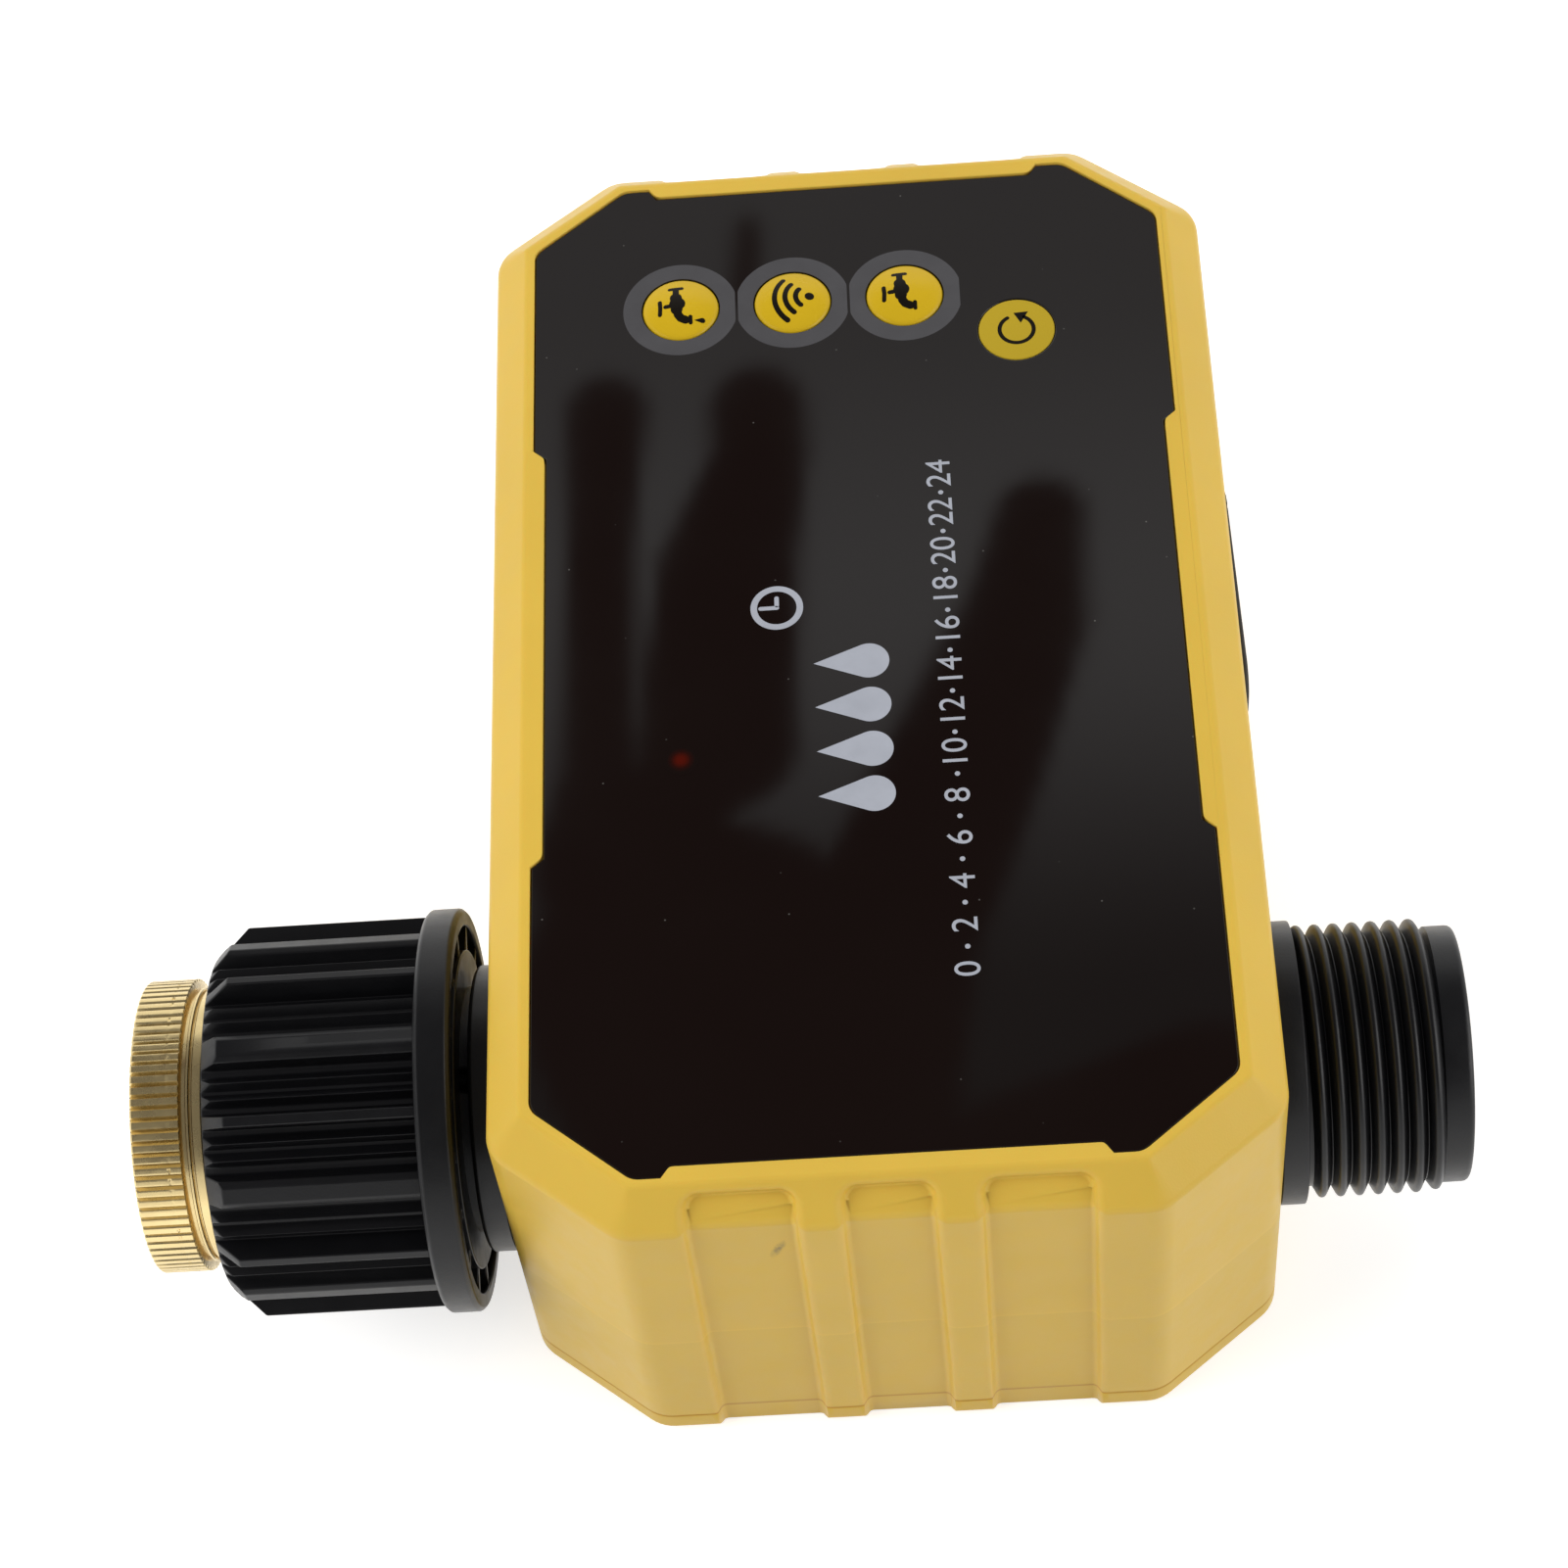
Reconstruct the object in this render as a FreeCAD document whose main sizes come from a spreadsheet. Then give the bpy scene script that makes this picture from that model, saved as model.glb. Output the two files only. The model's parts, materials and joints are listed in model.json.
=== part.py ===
import FreeCAD, Part
import os
import re

import Sketcher

# Battery irrigation controller, millimetres.
# Origin: centre of the flat back face. +Z leaves the front panel, X follows
# the water line from the inlet nut (-X) to the outlet (+X), +Y is the key end.

doc = FreeCAD.newDocument("irrigation_controller")
sheet = doc.addObject("Spreadsheet::Sheet", "dims")
VEC = FreeCAD.Vector

SIZES = {
    # how far a through cut overruns, and the play of a screw in its thread
    "over": 1.0,
    "tap_play": 0.05,
    # case outline, half sizes; its length comes from the battery cell
    "case_x": 36.9,
    "cell_from_end": 42.6,
    "cell_long": 65.0,
    "cell_to_end": 17.6,
    "case_top": 46.5,
    "corner_cut_x": 12.2,
    "corner_cut_y": 9.6,
    "arris_round": 4.0,
    "rim_bevel": 3.5,
    "seam_z": 3.3,
    "seam_bevel": 0.15,
    "foot_round": 1.2,
    "wall": 2.5,
    "roof": 2.3,
    # scallops in the two end walls
    "scallop_pitch": 13.55,
    "scallop_mid": 8.5,
    "scallop_side": 10.3,
    "scallop_depth": 1.0,
    "scallop_top": 0.95,
    "scallop_round": 1.5,
    # front panel and its recess
    "rim_x": 4.4,
    "rim_y": 4.25,
    "panel_waist": 1.15,
    "step_side_out": 24.7,
    "step_side": 1.0,
    "step_end_in": 2.65,
    "step_end": 0.8,
    "panel_corner_x": 9.4,
    "panel_corner_y": 7.7,
    "panel_round": 2.0,
    "panel_set": 1.2,
    "panel_thick": 1.0,
    "panel_gap": 0.1,
    # keys
    "key_from_end": 20.65,
    "key_open_x": -17.27,
    "key_wireless_x": -5.67,
    "key_close_x": 5.93,
    "key_r": 3.975,
    "key_edge": 0.05,
    "key_dome": 0.9,
    "reset_x": 17.2,
    "reset_from_end": 26.1,
    "reset_r": 3.9,
    "key_play": 0.075,
    "key_flange_r": 5.0,
    "key_flange_drop": 1.1,
    "key_flange_thick": 1.0,
    "key_stem_r": 2.0,
    "key_ledge_drop": 1.7,
    "key_well_play": 0.2,
    # light
    "led_x": -18.0,
    "led_y": -13.5,
    "led_r": 1.5,
    "led_foot_r": 1.9,
    "led_foot": 1.2,
    "led_play": 0.1,
    # board and what stands on it
    "board_side": 8.9,
    "board_past_water": 15.75,
    "board_from_end": 15.1,
    "board_hang": 4.4,
    "board_thick": 1.6,
    "boss_side": 12.9,
    "boss_past_water": 19.25,
    "boss_from_end": 18.6,
    "board_boss_r": 2.6,
    "board_screw_r": 1.0,
    "board_head_r": 1.9,
    "board_head": 1.2,
    "board_screw_deep": 4.4,
    "screw_play": 0.1,
    "switch_wide": 6.0,
    "switch_tall": 3.5,
    "plunger_r": 1.7,
    "plunger_rise": 2.8,
    "plunger_long": 1.4,
    "plunger_spare": 0.6,
    "plunger_play": 0.06,
    "radio_x": 10.0,
    "radio_y": 20.0,
    "radio_wide": 18.0,
    "radio_long": 20.0,
    "radio_tall": 3.2,
    "radio_lid": 2.4,
    "radio_lid_in": 1.2,
    # charging port and its flap
    "port_y": 8.45,
    "port_wide": 9.6,
    "port_tall": 3.8,
    "socket_wide": 8.9,
    "socket_tall": 3.2,
    "socket_flat": 0.3,
    "socket_shell": 0.4,
    "socket_gap": 0.2,
    "socket_long": 7.7,
    "socket_back": 2.0,
    "tongue_wide": 6.0,
    "tongue_thick": 0.8,
    "tongue_in": 0.8,
    "flap_long": 25.3,
    "flap_tall": 8.4,
    "flap_round": 3.2,
    "flap_deep": 1.2,
    "flap_gap": 0.1,
    "flap_proud_near": 0.75,
    "flap_proud_far": 0.35,
    "flap_root_long": 3.4,
    "flap_slit": 0.1,
    "flap_plug_in": 0.35,
    "flap_plug_deep": 1.0,
    "root_peg_r": 1.4,
    "root_peg_in": 1.8,
    # case screws
    "post_side": 9.4,
    "post_from_end": 8.1,
    "post_r": 3.2,
    "screw_r": 1.45,
    "screw_deep": 14.0,
    "head_r": 2.9,
    "head_low": 0.3,
    "head_top": 1.6,
    "head_play": 0.2,
    # seam seal and cover
    "seal_in": 1.45,
    "seal_wide": 0.9,
    "seal_tall": 0.9,
    "seal_play": 0.05,
    "cover_floor": 2.0,
    "cover_rim": 4.1,
    "lip_gap": 0.1,
    "lip_thick": 1.4,
    "lip_top": 5.3,
    "lip_past_water": 19.75,
    "lip_from_end": 20.6,
    "lip_end_half": 19.0,
    # battery
    "cell_side": 15.1,
    "cell_r": 9.2,
    "cell_bevel": 0.5,
    "cell_groove": 2.2,
    "cell_groove_deep": 0.4,
    "cell_button_r": 2.9,
    "cell_button": 1.4,
    "cradle_floor": 2.2,
    "cradle_wall": 1.0,
    "cradle_end": 1.6,
    "cradle_play": 0.1,
    "cradle_drop": 1.5,
    # water line
    "water_from_end": 24.85,
    "bore_r": 7.0,
    "ball_r": 10.5,
    "ball_bore_r": 6.5,
    "chamber_play": 1.05,
    "seat_back": 0.5,
    "seat_bore_r": 6.9,
    "seat_mid_r": 8.066,
    "seat_lip_r": 9.2,
    "seat_play": 0.03,
    "screw_in_r": 12.0,
    "screw_in_play": 0.05,
    "valve_r": 14.5,
    "valve_half": 24.0,
    "valve_bevel": 0.8,
    "neck_r": 12.8,
    "neck_play": 0.1,
    "ring_r": 0.73,
    "ring_deep": 1.4,
    "ring_play": 0.01,
    "ring_half": 0.9,
    # outlet
    "root_r": 13.75,
    "root_long": 2.6,
    "thread_r": 13.22,
    "thread_long": 13.3,
    "tip_r": 12.4,
    "tip_long": 2.4,
    "tip_round": 0.6,
    # inlet neck
    "collar_r": 14.0,
    "collar_long": 2.7,
    "collar_bevel": 0.3,
    "swivel_r": 11.95,
    "swivel_long": 11.4,
    "swivel_play": 0.05,
    "clip_floor_r": 10.85,
    "clip_groove_wide": 1.2,
    "clip_wide": 1.1,
    "clip_shift": 0.01,
    "clip_play": 0.03,
    "clip_r": 13.0,
    "clip_slot": 2.4,
    "screen_r": 9.4,
    "screen_play": 0.05,
    "screen_deep": 2.0,
    "screen_ring": 1.2,
    "screen_bar": 0.7,
    "screen_pitch": 2.6,
    "washer_in_r": 9.8,
    "washer_out_r": 12.8,
    "washer_thick": 2.0,
    # swivel nut
    "nut_gap": 1.0,
    "nut_long": 24.0,
    "nut_flange": 3.45,
    "nut_flange_r": 19.7,
    "nut_flange_bevel": 0.4,
    "nut_wall": 3.4,
    "nut_cavity": 5.0,
    "nut_cavity_r": 14.4,
    "nut_thread_r": 13.25,
    "nut_core_r": 16.5,
    "nut_mouth": 0.5,
    "rib_root": 0.5,
    "rib_r": 19.0,
    "rib_run": 2.5,
    "rib_foot_r": 16.2,
    "rib_turn": 28.0,
    "rib_half": 1.5,
    "rib_foot_half": 2.3,
    "ridge_r": 17.5,
    "ridge_near": 6.8,
    "ridge_far": 12.2,
    "ridge_half": 2.6,
    "land_r": 18.3,
    "land_side_r": 17.95,
    "land_half": 2.6,
    "land_side_half": 4.4,
    "land_foot_half": 5.2,
    "land_turn": 22.5,
    "rib_count": 8,
    "core_in_r": 15.6,
    "core_out_r": 18.0,
    "core_deep": 2.8,
    "web_count": 16,
    "web_thick": 1.0,
    "web_set": 0.3,
    "web_root": 0.2,
    # brass adapter
    "brass_gap": 0.05,
    "brass_play": 0.05,
    "brass_male_bevel": 0.4,
    "brass_groove_at": 1.65,
    "brass_groove": 0.1,
    "brass_groove_r": 12.9,
    "brass_ring": 0.35,
    "brass_ring_r": 13.4,
    "brass_shoulder": 1.4,
    "brass_shoulder_r": 14.1,
    "brass_knurl": 2.9,
    "brass_knurl_r": 14.3,
    "brass_knurl_bevel": 0.25,
    "brass_front": 0.8,
    "brass_front_r": 13.5,
    "brass_socket_r": 10.48,
    "brass_socket_at": 5.85,
    "brass_mouth": 0.5,
    "brass_bore_r": 8.0,
    "brass_relief_r": 11.0,
    "brass_relief": 2.2,
    "brass_washer_thick": 2.0,
    "brass_washer_r": 10.8,
    "brass_washer_bore_r": 6.6,
    # stem, coupler and drive, counted up from the water line
    "stem_r": 4.0,
    "stem_play": 0.05,
    "stem_rise": 19.25,
    "blade_rise": 10.65,
    "blade_deep": 3.3,
    "blade_thick": 3.0,
    "blade_play": 0.1,
    "stem_seal_rise": 15.75,
    "stem_seal_half": 0.9,
    "stem_seal_r": 0.72,
    "stem_seal_play": 0.04,
    "valve_boss_r": 9.0,
    "valve_well_r": 6.6,
    "valve_well_rise": 17.15,
    "mount_rise": 20.75,
    "mount_thick": 2.0,
    "mount_half": 11.2,
    "mount_round": 2.0,
    "mount_screw": 9.0,
    "mount_screw_r": 1.25,
    "mount_screw_play": 0.1,
    "mount_head_r": 2.1,
    "mount_head": 1.2,
    "coupler_r": 6.0,
    "coupler_gap": 0.3,
    "coupler_fit": 0.02,
    "output_r": 2.5,
    "output_long": 3.0,
    "output_spare": 0.6,
    "output_play": 0.1,
    "gear_plate": 2.0,
    "gear_long": 15.0,
    "gear_r": 9.8,
    "motor_r": 7.75,
    "motor_long": 22.0,
    "motor_bevel": 0.6,
    "motor_boss_r": 2.5,
    "motor_boss": 1.2,
}

DERIVED = {
    "case_y": "(cell_from_end + cell_long + cell_to_end)/2",
    "corner_x": "case_x - corner_cut_x",
    "corner_y": "case_y - corner_cut_y",
    "corner_long": "sqrt(corner_cut_x*corner_cut_x + corner_cut_y*corner_cut_y)",
    "corner_nx": "corner_cut_y/corner_long",
    "corner_ny": "corner_cut_x/corner_long",
    "side_k": "(1 - corner_nx)/corner_ny",
    "end_k": "(1 - corner_ny)/corner_nx",
    "bend_z": "case_top - rim_bevel - (sqrt(2) - 1)*scallop_depth",
    "scallop_slope": "scallop_depth/sqrt(2)",
    # front panel
    "panel_x": "case_x - rim_x",
    "panel_y": "case_y - rim_y",
    "panel_waist_x": "panel_x - panel_waist",
    "panel_waist_y": "panel_y - panel_waist",
    "step_side_in": "step_side_out - step_side",
    "panel_cut_x": "panel_x - panel_corner_x",
    "panel_cut_y": "panel_y - panel_corner_y",
    "step_end_out": "panel_cut_x - step_end_in",
    "step_end_low": "step_end_out - step_end",
    "panel_low": "case_top - panel_set",
    "panel_top": "panel_low + panel_thick",
    "ceiling_z": "panel_low - roof",
    # keys, board and port
    "key_y": "case_y - key_from_end",
    "reset_y": "case_y - reset_from_end",
    "key_flange_low": "panel_low - key_flange_drop",
    "key_ledge_z": "panel_low - key_ledge_drop",
    "water_y": "water_from_end - case_y",
    "water_z": "case_top/2",
    "board_x": "case_x - board_side",
    "board_near": "water_y + board_past_water",
    "board_far": "case_y - board_from_end",
    "board_top": "ceiling_z - board_hang",
    "board_low": "board_top - board_thick",
    "boss_x": "case_x - boss_side",
    "boss_near": "water_y + boss_past_water",
    "boss_far": "case_y - boss_from_end",
    "plunger_low": "board_top + plunger_rise",
    "plunger_top": "plunger_low + plunger_long",
    "port_z": "board_low - socket_tall/2",
    "socket_out": "case_x - wall - socket_gap",
    "socket_in": "socket_out - socket_long",
    "flap_near": "port_y - flap_long/2",
    "flap_far": "port_y + flap_long/2",
    "flap_low": "port_z - flap_tall/2",
    "flap_high": "port_z + flap_tall/2",
    "flap_split": "flap_far - flap_root_long",
    "root_peg_y": "flap_far - root_peg_in",
    # posts, lips and battery
    "post_x": "case_x - post_side",
    "post_y": "case_y - post_from_end",
    "lip_near": "water_y + lip_past_water",
    "lip_far": "case_y - lip_from_end",
    "cell_x": "cell_side - case_x",
    "cell_near": "cell_from_end - case_y",
    "cell_z": "cover_floor + cradle_floor + cradle_play + cell_r",
    "cradle_top": "cell_z - cradle_drop",
    # ball, seats and seals
    "chamber_r": "ball_r + chamber_play",
    "seat_end": "ball_r + seat_back",
    "seat_r": "chamber_r - seal_play",
    "seat_sphere_r": "ball_r + seat_play",
    "seat_cone": "sqrt(seat_sphere_r*seat_sphere_r - seat_mid_r*seat_mid_r)",
    "seat_inner_x": "(seat_sphere_r*seat_sphere_r - seat_bore_r*seat_mid_r)/seat_cone",
    "seat_outer_x": "(seat_sphere_r*seat_sphere_r - seat_lip_r*seat_mid_r)/seat_cone",
    "ring_floor_r": "neck_r - ring_deep",
    "ring_mid_r": "ring_floor_r + ring_play + ring_r",
    # along the water line, from the case wall outwards
    "root_out": "case_x + root_long",
    "thread_out": "root_out + thread_long",
    "tip_out": "thread_out + tip_long",
    "collar_out": "case_x + collar_long",
    "swivel_out": "collar_out + swivel_long",
    "washer_out": "swivel_out + washer_thick",
    "screen_seat_r": "screen_r + screen_play",
    "nut_rear": "collar_out + nut_gap",
    "nut_out": "nut_rear + nut_long",
    "nut_rib_out": "nut_out - rib_run",
    "nut_rear_r": "swivel_r + swivel_play",
    "nut_flange_out": "nut_rear + nut_flange",
    "nut_cavity_in": "nut_rear + nut_wall",
    "nut_cavity_out": "nut_cavity_in + nut_cavity",
    "clip_groove_in": "nut_cavity_in + swivel_play",
    "clip_groove_out": "clip_groove_in + clip_groove_wide",
    "clip_in": "clip_groove_in + clip_shift",
    "clip_out": "clip_in + clip_wide",
    "brass_in": "washer_out + brass_gap",
    "brass_male_r": "nut_thread_r - brass_play",
    "brass_groove_in": "nut_out + brass_groove_at",
    "brass_ring_in": "brass_groove_in + brass_groove",
    "brass_ring_out": "brass_ring_in + brass_ring",
    "brass_shoulder_in": "brass_ring_out + brass_groove",
    "brass_shoulder_out": "brass_shoulder_in + brass_shoulder",
    "brass_front_in": "brass_shoulder_out + brass_knurl",
    "brass_out": "brass_front_in + brass_front",
    "brass_socket_in": "brass_in + brass_socket_at",
    "brass_relief_out": "brass_socket_in + brass_relief",
    # stem and drive
    "stem_top": "water_y + stem_rise",
    "blade_top": "water_y + blade_rise",
    "stem_seal_y": "water_y + stem_seal_rise",
    "stem_seal_mid_r": "stem_r + stem_seal_play + stem_seal_r",
    "stem_seal_groove_r": "stem_seal_mid_r + stem_seal_r + stem_seal_play/2",
    "valve_well_foot": "water_y + valve_well_rise",
    "mount_foot": "water_y + mount_rise",
    "mount_top": "mount_foot + mount_thick",
    "coupler_foot": "valve_well_foot + coupler_gap",
    "coupler_top": "mount_top - coupler_gap",
    "output_top": "mount_top + output_long",
    "gear_plate_top": "mount_top + gear_plate",
    "gear_top": "mount_top + gear_long",
    "motor_out": "gear_top + motor_long",
}

NUMBERS = {}


def rename(text, change):
    """Rewrites each size name in an expression and leaves functions alone."""
    def swap(word):
        name = word.group()
        return change(name) if name in NUMBERS else name
    return re.sub(r"[a-z][a-z0-9_]*", swap, text)


def bind(text):
    """Points every size name in an expression at the sheet."""
    return rename(text, lambda name: "dims." + name)


def number(text):
    """The same expression as a plain number; the sheet's angles are degrees."""
    plain = rename(text, lambda name: "(%r)" % NUMBERS[name])
    for turn in ("cos(", "sin("):
        plain = plain.replace(turn, turn + "pi/180*")
    return FreeCAD.Units.Quantity(plain).Value


def fill_row(name, content, value):
    row = len(NUMBERS) + 1
    sheet.set("A%d" % row, name)
    sheet.set("B%d" % row, content)
    sheet.setAlias("B%d" % row, name)
    NUMBERS[name] = value


def fill_sheet():
    for name, value in SIZES.items():
        fill_row(name, str(value), value)
    for name, text in DERIVED.items():
        fill_row(name, "=" + text, number(text))
    doc.recompute()


fill_sheet()


def drive(thing, path, text):
    thing.setExpression(path, bind(text))


def body(name, y="0", z="0"):
    owner = doc.addObject("PartDesign::Body", name)
    owner.Label = name
    owner.AllowCompound = True
    if y != "0":
        drive(owner, "Placement.Base.y", y)
    if z != "0":
        drive(owner, "Placement.Base.z", z)
    return owner


def plane(owner, role):
    for item in owner.Origin.OriginFeatures:
        if item.Role == role:
            return item


def sketch(owner, role, offset="0"):
    sk = owner.newObject("Sketcher::SketchObject", owner.Name + "_sketch")
    sk.AttachmentSupport = [(plane(owner, role), "")]
    sk.MapMode = "FlatFace"
    if offset != "0":
        drive(sk, "AttachmentOffset.Base.z", offset)
    return sk


def polygon(sk, points):
    """Closed outline; each corner is dimensioned from the origin."""
    base = sk.GeometryCount
    count = len(points)
    places = [VEC(number(x), number(y), 0) for x, y in points]
    lines = [Part.LineSegment(places[i], places[(i + 1) % count]) for i in range(count)]
    sk.addGeometry(lines, False)
    joins = [Sketcher.Constraint("Coincident", base + i, 2, base + (i + 1) % count, 1) for i in range(count)]
    sk.addConstraint(joins)
    pin_points(sk, [(base + i, 1, points[i]) for i in range(count)])


def pin_points(sk, items):
    rows = []
    texts = []
    for geometry, point, place in items:
        for kind, text in zip(("DistanceX", "DistanceY"), place):
            rows.append(Sketcher.Constraint(kind, -1, 1, geometry, point, number(text)))
            texts.append(text)
    first = sk.ConstraintCount
    sk.addConstraint(rows)
    for shift, text in enumerate(texts):
        drive(sk, "Constraints[%d]" % (first + shift), text)


def circle(sk, x, y, radius):
    base = sk.GeometryCount
    sk.addGeometry(Part.Circle(VEC(number(x), number(y), 0), VEC(0, 0, 1), number(radius)), False)
    pin_points(sk, [(base, 3, (x, y))])
    row = sk.addConstraint(Sketcher.Constraint("Radius", base, number(radius)))
    drive(sk, "Constraints[%d]" % row, radius)


def rectangle(sk, x0, x1, y0, y1):
    polygon(sk, [(x0, y0), (x1, y0), (x1, y1), (x0, y1)])


def centred(sk, x, y, wide, tall):
    low_x, high_x = ("%s %s %s/2" % (x, side, wide) for side in "-+")
    low_y, high_y = ("%s %s %s/2" % (y, side, tall) for side in "-+")
    rectangle(sk, low_x, high_x, low_y, high_y)


def negative(text):
    return "0 - (%s)" % text


def octagon(sk, inset):
    """Case outline, moved inwards by the inset."""
    side_x = "case_x - (%s)" % inset
    side_y = "corner_y - (%s)*side_k" % inset
    end_x = "corner_x - (%s)*end_k" % inset
    end_y = "case_y - (%s)" % inset
    quarter = [(side_x, side_y), (end_x, end_y)]
    polygon(sk, all_round(quarter))


def all_round(quarter):
    """Mirrors the corner points of the first quadrant into the other three."""
    left = [(negative(x), y) for x, y in reversed(quarter)]
    low_left = [(negative(x), negative(y)) for x, y in quarter]
    low_right = [(x, negative(y)) for x, y in reversed(quarter)]
    return list(quarter) + left + low_left + low_right


def pad(owner, sk, length, reverse=False, both=False):
    item = owner.newObject("PartDesign::Pad", owner.Name + "_pad")
    item.Profile = sk
    item.Reversed = reverse
    item.SideType = "Symmetric" if both else "One side"
    drive(item, "Length", length)
    doc.recompute()
    return item


def remove(owner, kind, sk, prepare):
    """Adds a cut, turned round if it misses the solid on the first try."""
    before = owner.Shape.Volume
    item = owner.newObject(kind, owner.Name + "_cut")
    item.Profile = sk
    prepare(item)
    doc.recompute()
    if before - owner.Shape.Volume < 1e-4:
        item.Reversed = True
        doc.recompute()
    return item


def pocket(owner, sk, length, both=False):
    def prepare(item):
        item.SideType = "Symmetric" if both else "One side"
        drive(item, "Length", length)
    return remove(owner, "PartDesign::Pocket", sk, prepare)


def revolve(owner, sk, axis):
    item = owner.newObject("PartDesign::Revolution", owner.Name + "_turned")
    item.Profile = sk
    item.ReferenceAxis = (sk, [axis])
    item.Angle = 360
    doc.recompute()
    return item


def groove(owner, sk, axis):
    def prepare(item):
        item.ReferenceAxis = (sk, [axis])
        item.Angle = 360
    return remove(owner, "PartDesign::Groove", sk, prepare)


def fillet(owner, wanted, radius):
    item = owner.newObject("PartDesign::Fillet", owner.Name + "_round")
    return dress(item, wanted, "Radius", radius)


def chamfer(owner, wanted, size):
    item = owner.newObject("PartDesign::Chamfer", owner.Name + "_bevel")
    return dress(item, wanted, "Size", size)


def dress(item, wanted, path, text):
    """Gives a fillet or chamfer the edges that are wanted, and its size."""
    base = item.BaseFeature
    names = []
    for place, edge in enumerate(base.Shape.Edges):
        if wanted(edge):
            names.append("Edge%d" % (place + 1))
    item.Base = (base, names)
    drive(item, path, text)
    doc.recompute()
    return item


def turned(name, axis, points, y="0", z="0"):
    """Body turned round X, Y or Z; points are (along, radius) for X and
    (radius, along) for Y and Z."""
    owner = body(name, y, z)
    sk = sketch(owner, "XZ_Plane" if axis == "Z" else "XY_Plane")
    polygon(sk, points)
    revolve(owner, sk, "H_Axis" if axis == "X" else "V_Axis")
    return owner


def polar_pattern(owner, item, axis_role, count):
    pattern = owner.newObject("PartDesign::PolarPattern", owner.Name + "_ring")
    pattern.Originals = [item]
    pattern.Axis = (plane(owner, axis_role), [""])
    pattern.Angle = 360
    owner.Tip = pattern
    drive(pattern, "Occurrences", count)
    doc.recompute()
    return pattern


def span(edge, axis):
    box = edge.BoundBox
    return {"x": box.XLength, "y": box.YLength, "z": box.ZLength}[axis]


def upright(edge):
    return span(edge, "x") < 0.01 and span(edge, "y") < 0.01


def along_x(edge):
    return span(edge, "y") < 0.01 and span(edge, "z") < 0.01


def along_y(edge):
    return span(edge, "x") < 0.01 and span(edge, "z") < 0.01


def at_height(text):
    """Test for edges that lie flat at a height."""
    z = number(text)

    def flat(edge):
        box = edge.BoundBox
        return abs(box.ZMin - z) < 0.01 and abs(box.ZMax - z) < 0.01
    return flat


def close_to(value, text):
    """Whether a place is a named one, give or take the panel's own gap."""
    return abs(value - number(text)) < 3 * number("panel_gap")


KEYS = (
    ("open", "key_open_x", "key_y", "key_r"),
    ("wireless", "key_wireless_x", "key_y", "key_r"),
    ("close", "key_close_x", "key_y", "key_r"),
    ("reset", "reset_x", "reset_y", "reset_r"),
)
CORNERS = ((1, 1), (-1, 1), (-1, -1), (1, -1))


def signed(sign, text):
    return text if sign > 0 else negative(text)


def post_circles(sk, radius):
    for sx, sy in CORNERS:
        circle(sk, signed(sx, "post_x"), signed(sy, "post_y"), radius)


def board_circles(sk, radius):
    for x in ("boss_x", negative("boss_x")):
        for y in ("boss_near", "boss_far"):
            circle(sk, x, y, radius)


def key_circles(sk, size=""):
    """A circle round each key: of one size, or with play round its own."""
    for _, x, y, radius in KEYS:
        circle(sk, x, y, size or radius + " + key_play")


def panel_outline(sk, inset):
    quarter = [
        ("panel_waist_x - (%s)" % inset, "step_side_in"),
        ("panel_x - (%s)" % inset, "step_side_out"),
        ("panel_x - (%s)" % inset, "panel_cut_y - (%s)/2" % inset),
        ("panel_cut_x - (%s)/2" % inset, "panel_y - (%s)" % inset),
        ("step_end_out", "panel_y - (%s)" % inset),
        ("step_end_low", "panel_waist_y - (%s)" % inset),
    ]
    polygon(sk, all_round(quarter))


def panel_corner(edge):
    """The two blunt corners of each cut-off panel corner."""
    box = edge.BoundBox
    if not upright(edge) or box.ZMin < number("ceiling_z"):
        return False
    x = abs(box.XMin)
    y = abs(box.YMin)
    side = close_to(x, "panel_x") and close_to(y, "panel_cut_y")
    end = close_to(x, "panel_cut_x") and close_to(y, "panel_y")
    return side or end


def scallops(owner):
    """Three shallow recesses down each end wall, set into the bevel above."""
    top = "case_top - scallop_top"
    arris = "case_y - rim_bevel + scallop_top"
    points = [
        ("case_y - scallop_depth", "0 - over"),
        ("case_y - scallop_depth", "bend_z"),
        (arris + " - scallop_slope", top + " - scallop_slope"),
        (arris + " + over", top + " + over"),
        ("case_y + over", top + " + over"),
        ("case_y + over", "0 - over"),
    ]
    for place, wide in ((-1, "scallop_side"), (0, "scallop_mid"), (1, "scallop_side")):
        for sign in (1, -1):
            sk = sketch(owner, "YZ_Plane", "%d*scallop_pitch" % place)
            polygon(sk, [(signed(sign, y), z) for y, z in points])
            pocket(owner, sk, wide, both=True)


def scallop_end(edge):
    """Short arrises at the top of each scallop, square to the rim bevel."""
    box = edge.BoundBox
    slope = number("scallop_slope")
    high = box.ZMax > number("case_top - scallop_top") - 0.02
    return high and box.XLength < 0.01 and abs(box.YLength - slope) < 0.02 and abs(box.ZLength - slope) < 0.02


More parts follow.
